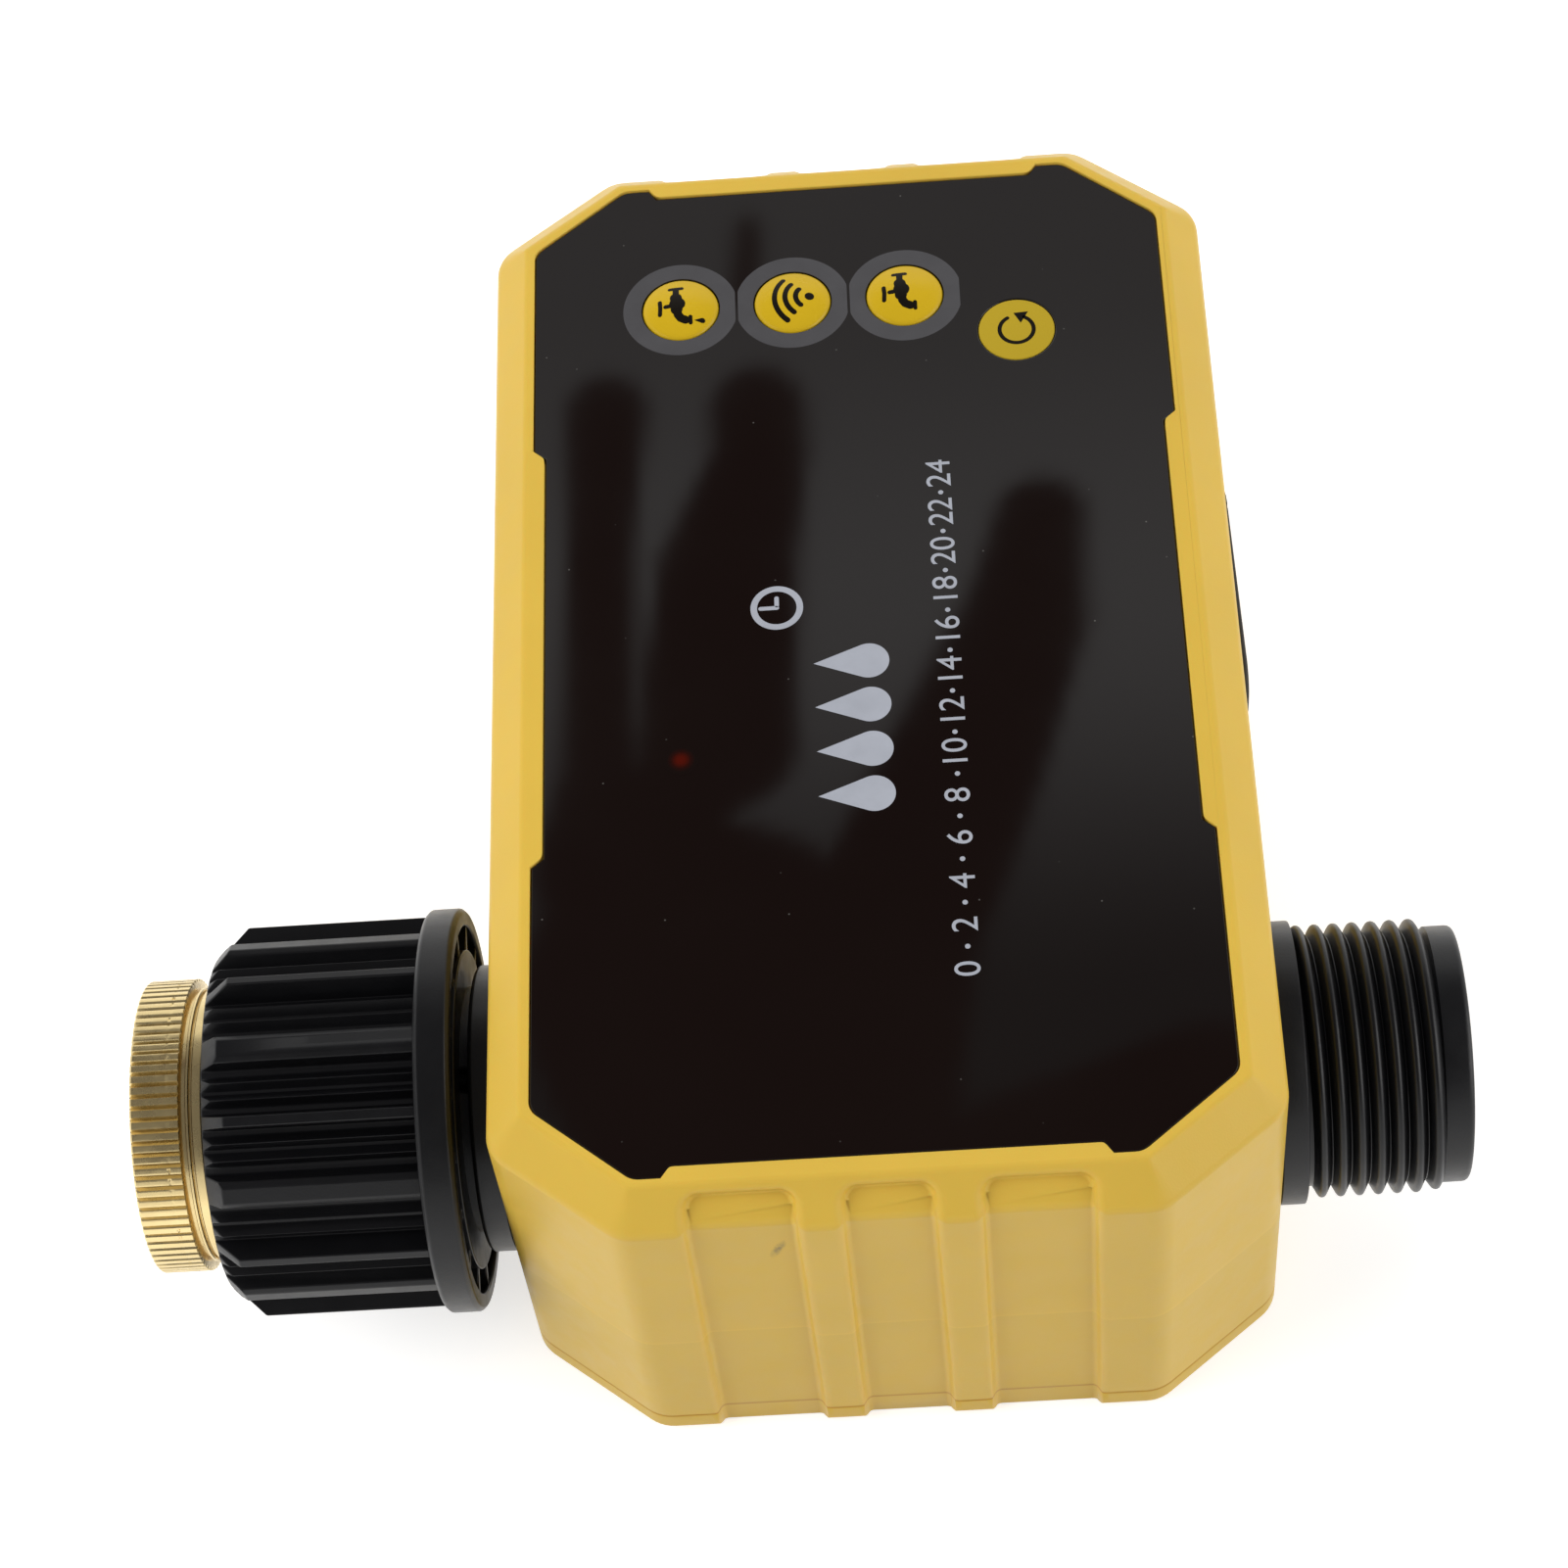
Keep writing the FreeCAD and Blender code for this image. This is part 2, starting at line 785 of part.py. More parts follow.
def make_front_shell():
    owner = body("front_shell")
    sk = sketch(owner, "XY_Plane", "seam_z")
    octagon(sk, "0")
    pad(owner, sk, "case_top - seam_z")
    fillet(owner, upright, "arris_round")
    chamfer(owner, at_height("case_top"), "rim_bevel")
    chamfer(owner, at_height("seam_z"), "seam_bevel")
    scallops(owner)
    fillet(owner, scallop_end, "scallop_round")

    sk = sketch(owner, "XY_Plane", "seam_z")
    octagon(sk, "wall")
    pocket(owner, sk, "ceiling_z - seam_z")

    sk = sketch(owner, "XY_Plane", "case_top")
    panel_outline(sk, "0")
    pocket(owner, sk, "case_top - panel_low")
    fillet(owner, panel_corner, "panel_round")

    sk = sketch(owner, "XY_Plane", "ceiling_z")
    post_circles(sk, "post_r")
    pad(owner, sk, "ceiling_z - seam_z", reverse=True)
    sk = sketch(owner, "XY_Plane", "ceiling_z")
    board_circles(sk, "board_boss_r")
    pad(owner, sk, "ceiling_z - board_top", reverse=True)

    sk = sketch(owner, "XY_Plane", "seam_z")
    post_circles(sk, "screw_r + tap_play")
    pocket(owner, sk, "screw_deep - seam_z + over")
    sk = sketch(owner, "XY_Plane", "board_top")
    board_circles(sk, "board_screw_r + tap_play")
    pocket(owner, sk, "ceiling_z - board_top")

    sk = sketch(owner, "XY_Plane", "panel_low")
    key_circles(sk, "key_flange_r + key_well_play")
    pocket(owner, sk, "panel_low - key_ledge_z")
    sk = sketch(owner, "XY_Plane", "panel_low")
    key_circles(sk, "key_stem_r + key_play")
    circle(sk, "led_x", "led_y", "led_r + led_play")
    pocket(owner, sk, "roof + over")

    for sign in (-1, 1):
        sk = sketch(owner, "YZ_Plane", signed(sign, "case_x + over"))
        circle(sk, "water_y", "water_z", "neck_r + neck_play")
        pocket(owner, sk, "wall + 2*over")

    sk = sketch(owner, "YZ_Plane", "case_x")
    rectangle(sk, "flap_near", "flap_far", "flap_low", "flap_high")
    pocket(owner, sk, "flap_deep")
    fillet(owner, flap_corner, "flap_round")
    sk = sketch(owner, "YZ_Plane", "case_x")
    centred(sk, "port_y", "port_z", "port_wide", "port_tall")
    circle(sk, "root_peg_y", "port_z", "root_peg_r + tap_play")
    pocket(owner, sk, "wall + over")
    return owner


def flap_corner(edge):
    box = edge.BoundBox
    if not along_x(edge) or not close_to(box.XMax, "case_x"):
        return False
    at_end = close_to(box.YMin, "flap_near") or close_to(box.YMin, "flap_far")
    return at_end and (close_to(box.ZMin, "flap_low") or close_to(box.ZMin, "flap_high"))


def make_back_cover():
    owner = body("back_cover")
    sk = sketch(owner, "XY_Plane")
    octagon(sk, "0")
    pad(owner, sk, "seam_z")
    fillet(owner, upright, "arris_round")
    fillet(owner, at_height("0"), "foot_round")
    chamfer(owner, at_height("seam_z"), "seam_bevel")
    scallops(owner)

    sk = sketch(owner, "XY_Plane", "seam_z")
    octagon(sk, "cover_rim")
    pocket(owner, sk, "seam_z - cover_floor")

    sk = sketch(owner, "XY_Plane", "cover_floor")
    side = "case_x - wall - lip_gap"
    end = "case_y - wall - lip_gap"
    for sign in (1, -1):
        rectangle(sk, signed(sign, side + " - lip_thick"), signed(sign, side), "lip_near", "lip_far")
        low, high = (signed(sign, text) for text in (end + " - lip_thick", end))
        rectangle(sk, "0 - lip_end_half", "lip_end_half", low, high)
    pad(owner, sk, "lip_top - cover_floor")
    sk = sketch(owner, "XY_Plane", "cover_floor")
    post_circles(sk, "post_r")
    pad(owner, sk, "seam_z - cover_floor")
    sk = sketch(owner, "XY_Plane", "seam_z")
    octagon(sk, "seal_in - seal_play")
    octagon(sk, "seal_in + seal_wide + seal_play")
    pocket(owner, sk, "seal_tall")

    sk = sketch(owner, "XY_Plane")
    post_circles(sk, "head_r + head_play")
    pocket(owner, sk, "head_top")
    sk = sketch(owner, "XY_Plane")
    post_circles(sk, "screw_r + head_play")
    pocket(owner, sk, "seam_z + over")
    return owner


def make_case_gasket():
    owner = body("case_gasket")
    sk = sketch(owner, "XY_Plane", "seam_z - seal_tall")
    octagon(sk, "seal_in")
    octagon(sk, "seal_in + seal_wide")
    pad(owner, sk, "seal_tall")
    return owner


def make_case_screws():
    owner = body("case_screws")
    sk = sketch(owner, "XY_Plane", "head_low")
    post_circles(sk, "head_r")
    pad(owner, sk, "head_top - head_low")
    sk = sketch(owner, "XY_Plane", "head_low")
    post_circles(sk, "screw_r")
    pad(owner, sk, "screw_deep - head_low")
    return owner


def make_front_panel():
    owner = body("front_panel")
    sk = sketch(owner, "XY_Plane", "panel_low")
    panel_outline(sk, "panel_gap")
    pad(owner, sk, "panel_thick")
    fillet(owner, panel_corner, "panel_round")
    sk = sketch(owner, "XY_Plane", "panel_top")
    key_circles(sk)
    circle(sk, "led_x", "led_y", "led_r + led_play")
    pocket(owner, sk, "panel_thick + over")
    return owner


def make_key(label, x, y):
    """Domed disc, a flange held under the panel and a stem to the switch."""
    owner = body("key_" + label)
    drive(owner, "Placement.Base.x", x)
    drive(owner, "Placement.Base.y", y)
    sk = sketch(owner, "XZ_Plane")
    edge_z = "panel_top + key_edge"
    crown_z = "panel_top + key_dome"
    corners = [
        ("0", "plunger_top"),
        ("key_stem_r", "plunger_top"),
        ("key_stem_r", "key_flange_low"),
        ("key_flange_r", "key_flange_low"),
        ("key_flange_r", "key_flange_low + key_flange_thick"),
        ("key_r", "key_flange_low + key_flange_thick"),
        ("key_r", edge_z),
        ("0", crown_z),
    ]
    places = [VEC(number(a), number(b), 0) for a, b in corners]
    count = len(corners)
    lines = [Part.LineSegment(places[i], places[i + 1]) for i in range(count - 2)]
    edge, crown = places[-2:]
    rise = number("key_dome - key_edge")
    radius = (number("key_r") ** 2 + rise ** 2) / (2 * rise)
    middle = VEC(0, number(crown_z) - radius, 0)
    bulge = middle + ((edge + crown) * 0.5 - middle).normalize() * radius
    dome = Part.ArcOfCircle(edge, bulge, crown)
    sk.addGeometry(lines + [dome, Part.LineSegment(crown, places[0])], False)
    joins = [Sketcher.Constraint("Coincident", i, 2, (i + 1) % count, 1) for i in range(count)]
    joins.append(Sketcher.Constraint("PointOnObject", count - 2, 3, -2))
    sk.addConstraint(joins)
    pin_points(sk, [(i, 1, corners[i]) for i in range(count)])
    revolve(owner, sk, "V_Axis")
    return owner


def make_reset_key():
    owner = body("key_reset")
    drive(owner, "Placement.Base.x", "reset_x")
    drive(owner, "Placement.Base.y", "reset_y")
    sk = sketch(owner, "XZ_Plane")
    polygon(sk, [
        ("0", "plunger_top"),
        ("key_stem_r", "plunger_top"),
        ("key_stem_r", "key_flange_low"),
        ("key_flange_r", "key_flange_low"),
        ("key_flange_r", "key_flange_low + key_flange_thick"),
        ("reset_r", "key_flange_low + key_flange_thick"),
        ("reset_r", "panel_top"),
        ("0", "panel_top"),
    ])
    revolve(owner, sk, "V_Axis")
    return owner


def make_plunger(label, x, y):
    owner = body("plunger_" + label)
    sk = sketch(owner, "XY_Plane", "plunger_low")
    circle(sk, x, y, "plunger_r")
    pad(owner, sk, "plunger_top - plunger_low")
    return owner


def make_circuit_board():
    owner = body("circuit_board")
    sk = sketch(owner, "XY_Plane", "board_low")
    rectangle(sk, "0 - board_x", "board_x", "board_near", "board_far")
    board_circles(sk, "board_screw_r + screw_play")
    pad(owner, sk, "board_thick")
    return owner


def make_board_screws():
    owner = body("board_screws")
    sk = sketch(owner, "XY_Plane", "board_low")
    board_circles(sk, "board_head_r")
    pad(owner, sk, "board_head", reverse=True)
    sk = sketch(owner, "XY_Plane", "board_low - board_head")
    board_circles(sk, "board_screw_r")
    pad(owner, sk, "board_head + board_screw_deep")
    return owner


def make_key_switches():
    owner = body("key_switches")
    sk = sketch(owner, "XY_Plane", "board_top")
    for _, x, y, _ in KEYS:
        centred(sk, x, y, "switch_wide", "switch_wide")
    pad(owner, sk, "switch_tall")
    sk = sketch(owner, "XY_Plane", "board_top + switch_tall")
    key_circles(sk, "plunger_r + plunger_play")
    pocket(owner, sk, "board_top + switch_tall - plunger_low + plunger_spare")
    return owner


def make_status_led():
    owner = body("status_led")
    sk = sketch(owner, "XY_Plane", "board_top")
    circle(sk, "led_x", "led_y", "led_foot_r")
    pad(owner, sk, "led_foot")
    sk = sketch(owner, "XY_Plane", "board_top")
    circle(sk, "led_x", "led_y", "led_r")
    pad(owner, sk, "panel_top - board_top")
    return owner


def make_wifi_module():
    owner = body("wifi_module")
    sk = sketch(owner, "XY_Plane", "board_low")
    centred(sk, "radio_x", "radio_y", "radio_wide", "radio_long")
    pad(owner, sk, "radio_tall - radio_lid", reverse=True)
    sk = sketch(owner, "XY_Plane", "board_low")
    lid_wide = "(radio_wide - 2*radio_lid_in)"
    lid_long = "(radio_long - 5*radio_lid_in)"
    centred(sk, "radio_x", "radio_y - 1.5*radio_lid_in", lid_wide, lid_long)
    pad(owner, sk, "radio_tall", reverse=True)
    return owner


def make_charge_socket():
    owner = body("charge_socket")
    sk = sketch(owner, "YZ_Plane", "socket_in")
    centred(sk, "port_y", "port_z", "socket_wide", "socket_tall")
    pad(owner, sk, "socket_long")
    fillet(owner, along_x, "socket_tall/2 - socket_flat")
    sk = sketch(owner, "YZ_Plane", "socket_out")
    centred(sk, "port_y", "port_z", "(socket_wide - 2*socket_shell)", "(socket_tall - 2*socket_shell)")
    pocket(owner, sk, "socket_long - socket_back")
    sk = sketch(owner, "YZ_Plane", "socket_in + socket_back/2")
    centred(sk, "port_y", "port_z", "tongue_wide", "tongue_thick")
    pad(owner, sk, "socket_long - socket_back/2 - tongue_in")
    return owner


def flap_piece(name, near, far, corners):
    """One length of the rubber flap; its outer face slopes along Y."""
    owner = body(name)
    slope = "(flap_proud_near - flap_proud_far)/(flap_far - flap_near)"
    sk = sketch(owner, "XY_Plane", "flap_low + flap_gap")
    floor = "case_x - flap_deep"
    polygon(sk, [
        (floor, near),
        ("case_x + flap_proud_near - (%s - flap_near)*%s" % (near, slope), near),
        ("case_x + flap_proud_near - (%s - flap_near)*%s" % (far, slope), far),
        (floor, far),
    ])
    pad(owner, sk, "flap_tall - 2*flap_gap")

    def round_end(edge):
        return along_x(edge) and close_to(edge.BoundBox.YMin, corners)
    fillet(owner, round_end, "flap_round - flap_gap")
    return owner


def make_port_flap():
    owner = flap_piece("port_flap", "(flap_near + flap_gap)", "(flap_split - flap_slit/2)", "flap_near")
    sk = sketch(owner, "YZ_Plane", "case_x - flap_deep")
    centred(sk, "port_y", "port_z", "(port_wide - 2*flap_plug_in)", "(port_tall - 2*flap_plug_in)")
    pad(owner, sk, "flap_plug_deep", reverse=True)
    return owner


def make_flap_root():
    owner = flap_piece("flap_root", "(flap_split + flap_slit/2)", "(flap_far - flap_gap)", "flap_far")
    sk = sketch(owner, "YZ_Plane", "case_x - flap_deep")
    circle(sk, "root_peg_y", "port_z", "root_peg_r")
    pad(owner, sk, "wall - flap_deep", reverse=True)
    return owner


def make_battery_cell():
    owner = body("battery_cell", "0", "cell_z")
    drive(owner, "Placement.Base.x", "cell_x")
    sk = sketch(owner, "XY_Plane")
    far = "cell_near + cell_long"
    polygon(sk, [
        ("0", "cell_near"),
        ("cell_r - cell_bevel", "cell_near"),
        ("cell_r", "cell_near + cell_bevel"),
        ("cell_r", far + " - cell_button - 2*cell_groove"),
        ("cell_r - cell_groove_deep", far + " - cell_button - 1.5*cell_groove"),
        ("cell_r", far + " - cell_button - cell_groove"),
        ("cell_r", far + " - cell_button - cell_bevel"),
        ("cell_r - cell_bevel", far + " - cell_button"),
        ("cell_button_r", far + " - cell_button"),
        ("cell_button_r", far),
        ("0", far),
    ])
    revolve(owner, sk, "V_Axis")
    return owner


def make_battery_cradle():
    owner = body("battery_cradle")
    half = "(cell_r + cradle_play + cradle_wall)"
    near = "cell_near - cradle_play - cradle_end"
    far = "cell_near + cell_long + cradle_play + cradle_end"
    sk = sketch(owner, "XY_Plane", "cover_floor")
    rectangle(sk, "cell_x - " + half, "cell_x + " + half, near, far)
    pad(owner, sk, "cradle_top - cover_floor")
    sk = sketch(owner, "XZ_Plane", negative("cell_near - cradle_play"))
    circle(sk, "cell_x", "cell_z", "cell_r + cradle_play")
    pocket(owner, sk, "cell_long + 2*cradle_play")
    return owner


def plate_corner(edge):
    """Corner edges of a mounting plate, as long as a plate is thick."""
    return along_y(edge) and span(edge, "y") < number("mount_thick + gear_plate")


def make_motor_gearbox():
    owner = body("motor_gearbox", "0", "water_z")
    sk = sketch(owner, "XZ_Plane", negative("mount_top"))
    rectangle(sk, "0 - mount_half", "mount_half", "0 - mount_half", "mount_half")
    pad(owner, sk, "gear_plate", reverse=True)
    fillet(owner, plate_corner, "mount_round")
    sk = sketch(owner, "XZ_Plane", negative("mount_top"))
    circle(sk, "0", "0", "gear_r")
    pad(owner, sk, "gear_long", reverse=True)
    sk = sketch(owner, "XZ_Plane", negative("mount_top"))
    circle(sk, "0", "0", "output_r + output_play")
    pocket(owner, sk, "output_long + output_spare")
    sk = sketch(owner, "XZ_Plane", negative("mount_top"))
    mount_circles(sk, "mount_screw_r + mount_screw_play")
    pocket(owner, sk, "gear_plate + over")
    return owner


def mount_circles(sk, radius):
    for sx, sy in CORNERS:
        circle(sk, signed(sx, "mount_screw"), signed(sy, "mount_screw"), radius)


def make_motor_can():
    return turned("motor_can", "Y", [
        ("0", "gear_top"),
        ("motor_r - motor_bevel", "gear_top"),
        ("motor_r", "gear_top + motor_bevel"),
        ("motor_r", "motor_out - motor_bevel"),
        ("motor_r - motor_bevel", "motor_out"),
        ("motor_boss_r", "motor_out"),
        ("motor_boss_r", "motor_out + motor_boss"),
        ("0", "motor_out + motor_boss"),
    ], "0", "water_z")


def make_motor_screws():
    owner = body("motor_screws", "0", "water_z")
    sk = sketch(owner, "XZ_Plane", negative("gear_plate_top"))
    mount_circles(sk, "mount_head_r")
    pad(owner, sk, "mount_head", reverse=True)
    sk = sketch(owner, "XZ_Plane", negative("gear_plate_top + mount_head"))
    mount_circles(sk, "mount_screw_r")
    pad(owner, sk, "mount_head + gear_plate_top - mount_foot")
    return owner


def make_motor_output():
    owner = body("motor_output", "0", "water_z")
    sk = sketch(owner, "XZ_Plane", negative("stem_top"))
    circle(sk, "0", "0", "output_r")
    pad(owner, sk, "output_top - stem_top", reverse=True)
    return owner


def make_stem_coupler():
    return turned("stem_coupler", "Y", [
        ("stem_r + coupler_fit", "coupler_foot"),
        ("coupler_r", "coupler_foot"),
        ("coupler_r", "coupler_top"),
        ("output_r + coupler_fit", "coupler_top"),
        ("output_r + coupler_fit", "stem_top"),
        ("stem_r + coupler_fit", "stem_top"),
    ], "0", "water_z")


def make_valve_stem():
    """Round stem with a flat blade at its foot that turns the ball."""
    owner = body("valve_stem", "0", "water_z")
    sk = sketch(owner, "XZ_Plane", negative("stem_top"))
    circle(sk, "0", "0", "stem_r")
    pad(owner, sk, "stem_top - blade_top + blade_deep")
    sk = sketch(owner, "XZ_Plane", negative("blade_top - blade_deep - over"))
    rectangle(sk, "0 - blade_thick/2", "blade_thick/2", "0 - 2*stem_r", "2*stem_r")
    rectangle(sk, "0 - 2*stem_r", "2*stem_r", "0 - 3*stem_r", "3*stem_r")
    pocket(owner, sk, "blade_deep + over")
    return owner


def make_valve_ball():
    """Ball with a cross bore, drawn shut, and a slot for the stem's blade."""
    ball = doc.addObject("Part::Sphere", "ball_blank")
    drive(ball, "Radius", "ball_r")
    bore = doc.addObject("Part::Cylinder", "ball_bore")
    drive(bore, "Radius", "ball_bore_r")
    drive(bore, "Height", "4*ball_r")
    drive(bore, "Placement.Base.z", "0 - 2*ball_r")
    slot = doc.addObject("Part::Box", "ball_slot")
    drive(slot, "Length", "blade_thick + 2*blade_play")
    drive(slot, "Width", "ball_r")
    drive(slot, "Height", "4*ball_r")
    drive(slot, "Placement.Base.x", "0 - blade_thick/2 - blade_play")
    drive(slot, "Placement.Base.y", "blade_top - blade_deep - blade_play - water_y")
    drive(slot, "Placement.Base.z", "0 - 2*ball_r")
    bored = doc.addObject("Part::Cut", "ball_bored")
    bored.Base = ball
    bored.Tool = bore
    slotted = doc.addObject("Part::Cut", "valve_ball")
    slotted.Label = "valve_ball"
    slotted.Base = bored
    slotted.Tool = slot
    drive(slotted, "Placement.Base.y", "water_y")
    drive(slotted, "Placement.Base.z", "water_z")
    doc.recompute()
    return slotted


def make_valve_body():
    owner = body("valve_body", "water_y", "water_z")
    sk = sketch(owner, "XY_Plane")
    polygon(sk, [
        ("0 - valve_half", "0"),
        ("0 - valve_half", "valve_r - valve_bevel"),
        ("0 - valve_half + valve_bevel", "valve_r"),
        ("valve_half - valve_bevel", "valve_r"),
        ("valve_half", "valve_r - valve_bevel"),
        ("valve_half", "0"),
    ])
    revolve(owner, sk, "H_Axis")
    sk = sketch(owner, "XZ_Plane")
    circle(sk, "0", "0", "valve_boss_r")
    pad(owner, sk, "mount_top - water_y", reverse=True)
    sk = sketch(owner, "XZ_Plane", negative("mount_foot - water_y"))
    rectangle(sk, "0 - mount_half", "mount_half", "0 - mount_half", "mount_half")
    pad(owner, sk, "mount_thick", reverse=True)
    fillet(owner, plate_corner, "mount_round")

    sk = sketch(owner, "XY_Plane")
    polygon(sk, [
        ("0 - valve_half - over", "0"),
        ("0 - valve_half - over", "screw_in_r + screw_in_play"),
        ("0 - seat_end", "screw_in_r + screw_in_play"),
        ("0 - seat_end", "chamber_r"),
        ("seat_end", "chamber_r"),
        ("seat_end", "screw_in_r + screw_in_play"),
        ("valve_half + over", "screw_in_r + screw_in_play"),
        ("valve_half + over", "0"),
    ])
    groove(owner, sk, "H_Axis")
    sk = sketch(owner, "XY_Plane")
    polygon(sk, [
        ("0", "0"),
        ("stem_r + stem_play", "0"),
        ("stem_r + stem_play", "stem_seal_y - stem_seal_half - water_y"),
        ("stem_seal_groove_r", "stem_seal_y - stem_seal_half - water_y"),
        ("stem_seal_groove_r", "stem_seal_y + stem_seal_half - water_y"),
        ("stem_r + stem_play", "stem_seal_y + stem_seal_half - water_y"),
        ("stem_r + stem_play", "valve_well_foot - water_y"),
        ("valve_well_r", "valve_well_foot - water_y"),
        ("valve_well_r", "mount_top - water_y + over"),
        ("0", "mount_top - water_y + over"),
    ])
    groove(owner, sk, "V_Axis")
    sk = sketch(owner, "XZ_Plane", negative("mount_top - water_y"))
    mount_circles(sk, "mount_screw_r + tap_play")
    pocket(owner, sk, "mount_thick + over")
    return owner


def make_ball_seats():
    owner = body("ball_seats", "water_y", "water_z")
    sk = sketch(owner, "XY_Plane")
    for sign in (1, -1):
        points = [
            ("seat_end", "seat_bore_r"),
            ("seat_end", "seat_r"),
            ("seat_outer_x", "seat_r"),
            ("seat_outer_x", "seat_lip_r"),
            ("seat_inner_x", "seat_bore_r"),
        ]
        polygon(sk, [(signed(sign, x), r) for x, r in points])
    revolve(owner, sk, "H_Axis")
    return owner


def make_stem_seal():
    owner = body("stem_seal", "0", "water_z")
    sk = sketch(owner, "XY_Plane")
    circle(sk, "stem_seal_mid_r", "stem_seal_y", "stem_seal_r")
    revolve(owner, sk, "V_Axis")
    return owner


def make_wall_seals():
    owner = body("wall_seals", "water_y", "water_z")
    sk = sketch(owner, "XY_Plane")
    for sign in (1, -1):
        circle(sk, signed(sign, "case_x - wall/2"), "ring_mid_r", "ring_r")
    revolve(owner, sk, "H_Axis")
    return owner


def ring_groove(sign):
    """Neck outline past the seal groove, from the valve to the case wall."""
    middle = "case_x - wall/2"
    return [
        (signed(sign, "seat_end"), "screw_in_r"),
        (signed(sign, "valve_half"), "screw_in_r"),
        (signed(sign, "valve_half"), "neck_r"),
        (signed(sign, middle + " - ring_half"), "neck_r"),
        (signed(sign, middle + " - ring_half"), "ring_floor_r"),
        (signed(sign, middle + " + ring_half"), "ring_floor_r"),
        (signed(sign, middle + " + ring_half"), "neck_r"),
        (signed(sign, "case_x"), "neck_r"),
    ]


def make_outlet_fitting():
    return turned("outlet_fitting", "X", ring_groove(1) + [
        ("case_x", "root_r"),
        ("root_out", "root_r"),
        ("root_out", "thread_r"),
        ("thread_out", "thread_r"),
        ("thread_out", "tip_r"),
        ("tip_out - tip_round", "tip_r"),
        ("tip_out - 0.3*tip_round", "tip_r - 0.3*tip_round"),
        ("tip_out", "tip_r - tip_round"),
        ("tip_out", "bore_r"),
        ("seat_end", "bore_r"),
    ], "water_y", "water_z")


def make_inlet_fitting():
    points = ring_groove(-1) + [
        (negative("case_x"), "collar_r"),
        (negative("collar_out - collar_bevel"), "collar_r"),
        (negative("collar_out"), "collar_r - collar_bevel"),
        (negative("collar_out"), "swivel_r"),
        (negative("clip_groove_in"), "swivel_r"),
        (negative("clip_groove_in"), "clip_floor_r"),
        (negative("clip_groove_out"), "clip_floor_r"),
        (negative("clip_groove_out"), "swivel_r"),
        (negative("swivel_out"), "swivel_r"),
        (negative("swivel_out"), "screen_seat_r"),
        (negative("swivel_out - screen_deep"), "screen_seat_r"),
        (negative("swivel_out - screen_deep"), "bore_r"),
        (negative("seat_end"), "bore_r"),
    ]
    return turned("inlet_fitting", "X", points, "water_y", "water_z")


def make_nut_clip():
    """Split ring in the neck's groove, behind the nut's rear wall."""
    owner = turned("nut_clip", "X", [
        (negative("clip_in"), "clip_floor_r + clip_play"),
        (negative("clip_in"), "clip_r"),
        (negative("clip_out"), "clip_r"),
        (negative("clip_out"), "clip_floor_r + clip_play"),
    ], "water_y", "water_z")
    sk = sketch(owner, "YZ_Plane", negative("clip_out + over"))
    rectangle(sk, "0 - clip_slot/2", "clip_slot/2", "0 - clip_r - over", "0")
    pocket(owner, sk, "clip_wide + 2*over")
    return owner


def make_inlet_washer():
    return turned("inlet_washer", "X", [
        (negative("swivel_out"), "washer_in_r"),
        (negative("swivel_out"), "washer_out_r"),
        (negative("washer_out"), "washer_out_r"),
        (negative("washer_out"), "washer_in_r"),
    ], "water_y", "water_z")


def make_filter_screen():
    owner = turned("filter_screen", "X", [
        (negative("swivel_out"), "screen_r - screen_ring"),
        (negative("swivel_out"), "screen_r"),
        (negative("swivel_out - screen_deep"), "screen_r"),
        (negative("swivel_out - screen_deep"), "screen_r - screen_ring"),
    ], "water_y", "water_z")
    reach = "(screen_r - screen_ring/2)"
    for along in (True, False):
        sk = sketch(owner, "YZ_Plane", negative("swivel_out - screen_deep/2"))
        for step in (-2, -1, 0, 1, 2):
            low = "%d*screen_pitch - screen_bar/2" % step
            high = "%d*screen_pitch + screen_bar/2" % step
            half = "sqrt(%s*%s - %d*screen_pitch*screen_pitch)" % (reach, reach, step * step)
            if along:
                rectangle(sk, negative(half), half, low, high)
            else:
                rectangle(sk, low, high, negative(half), half)
        pad(owner, sk, "screen_bar", both=True)
    return owner


def around(radius, angle):
    """Point of the nut's section, by radius and turn from the sheet."""
    turn = "(rib_turn + (%s))" % angle
    return ("%s*cos(%s)" % (radius, turn), "%s*sin(%s)" % (radius, turn))


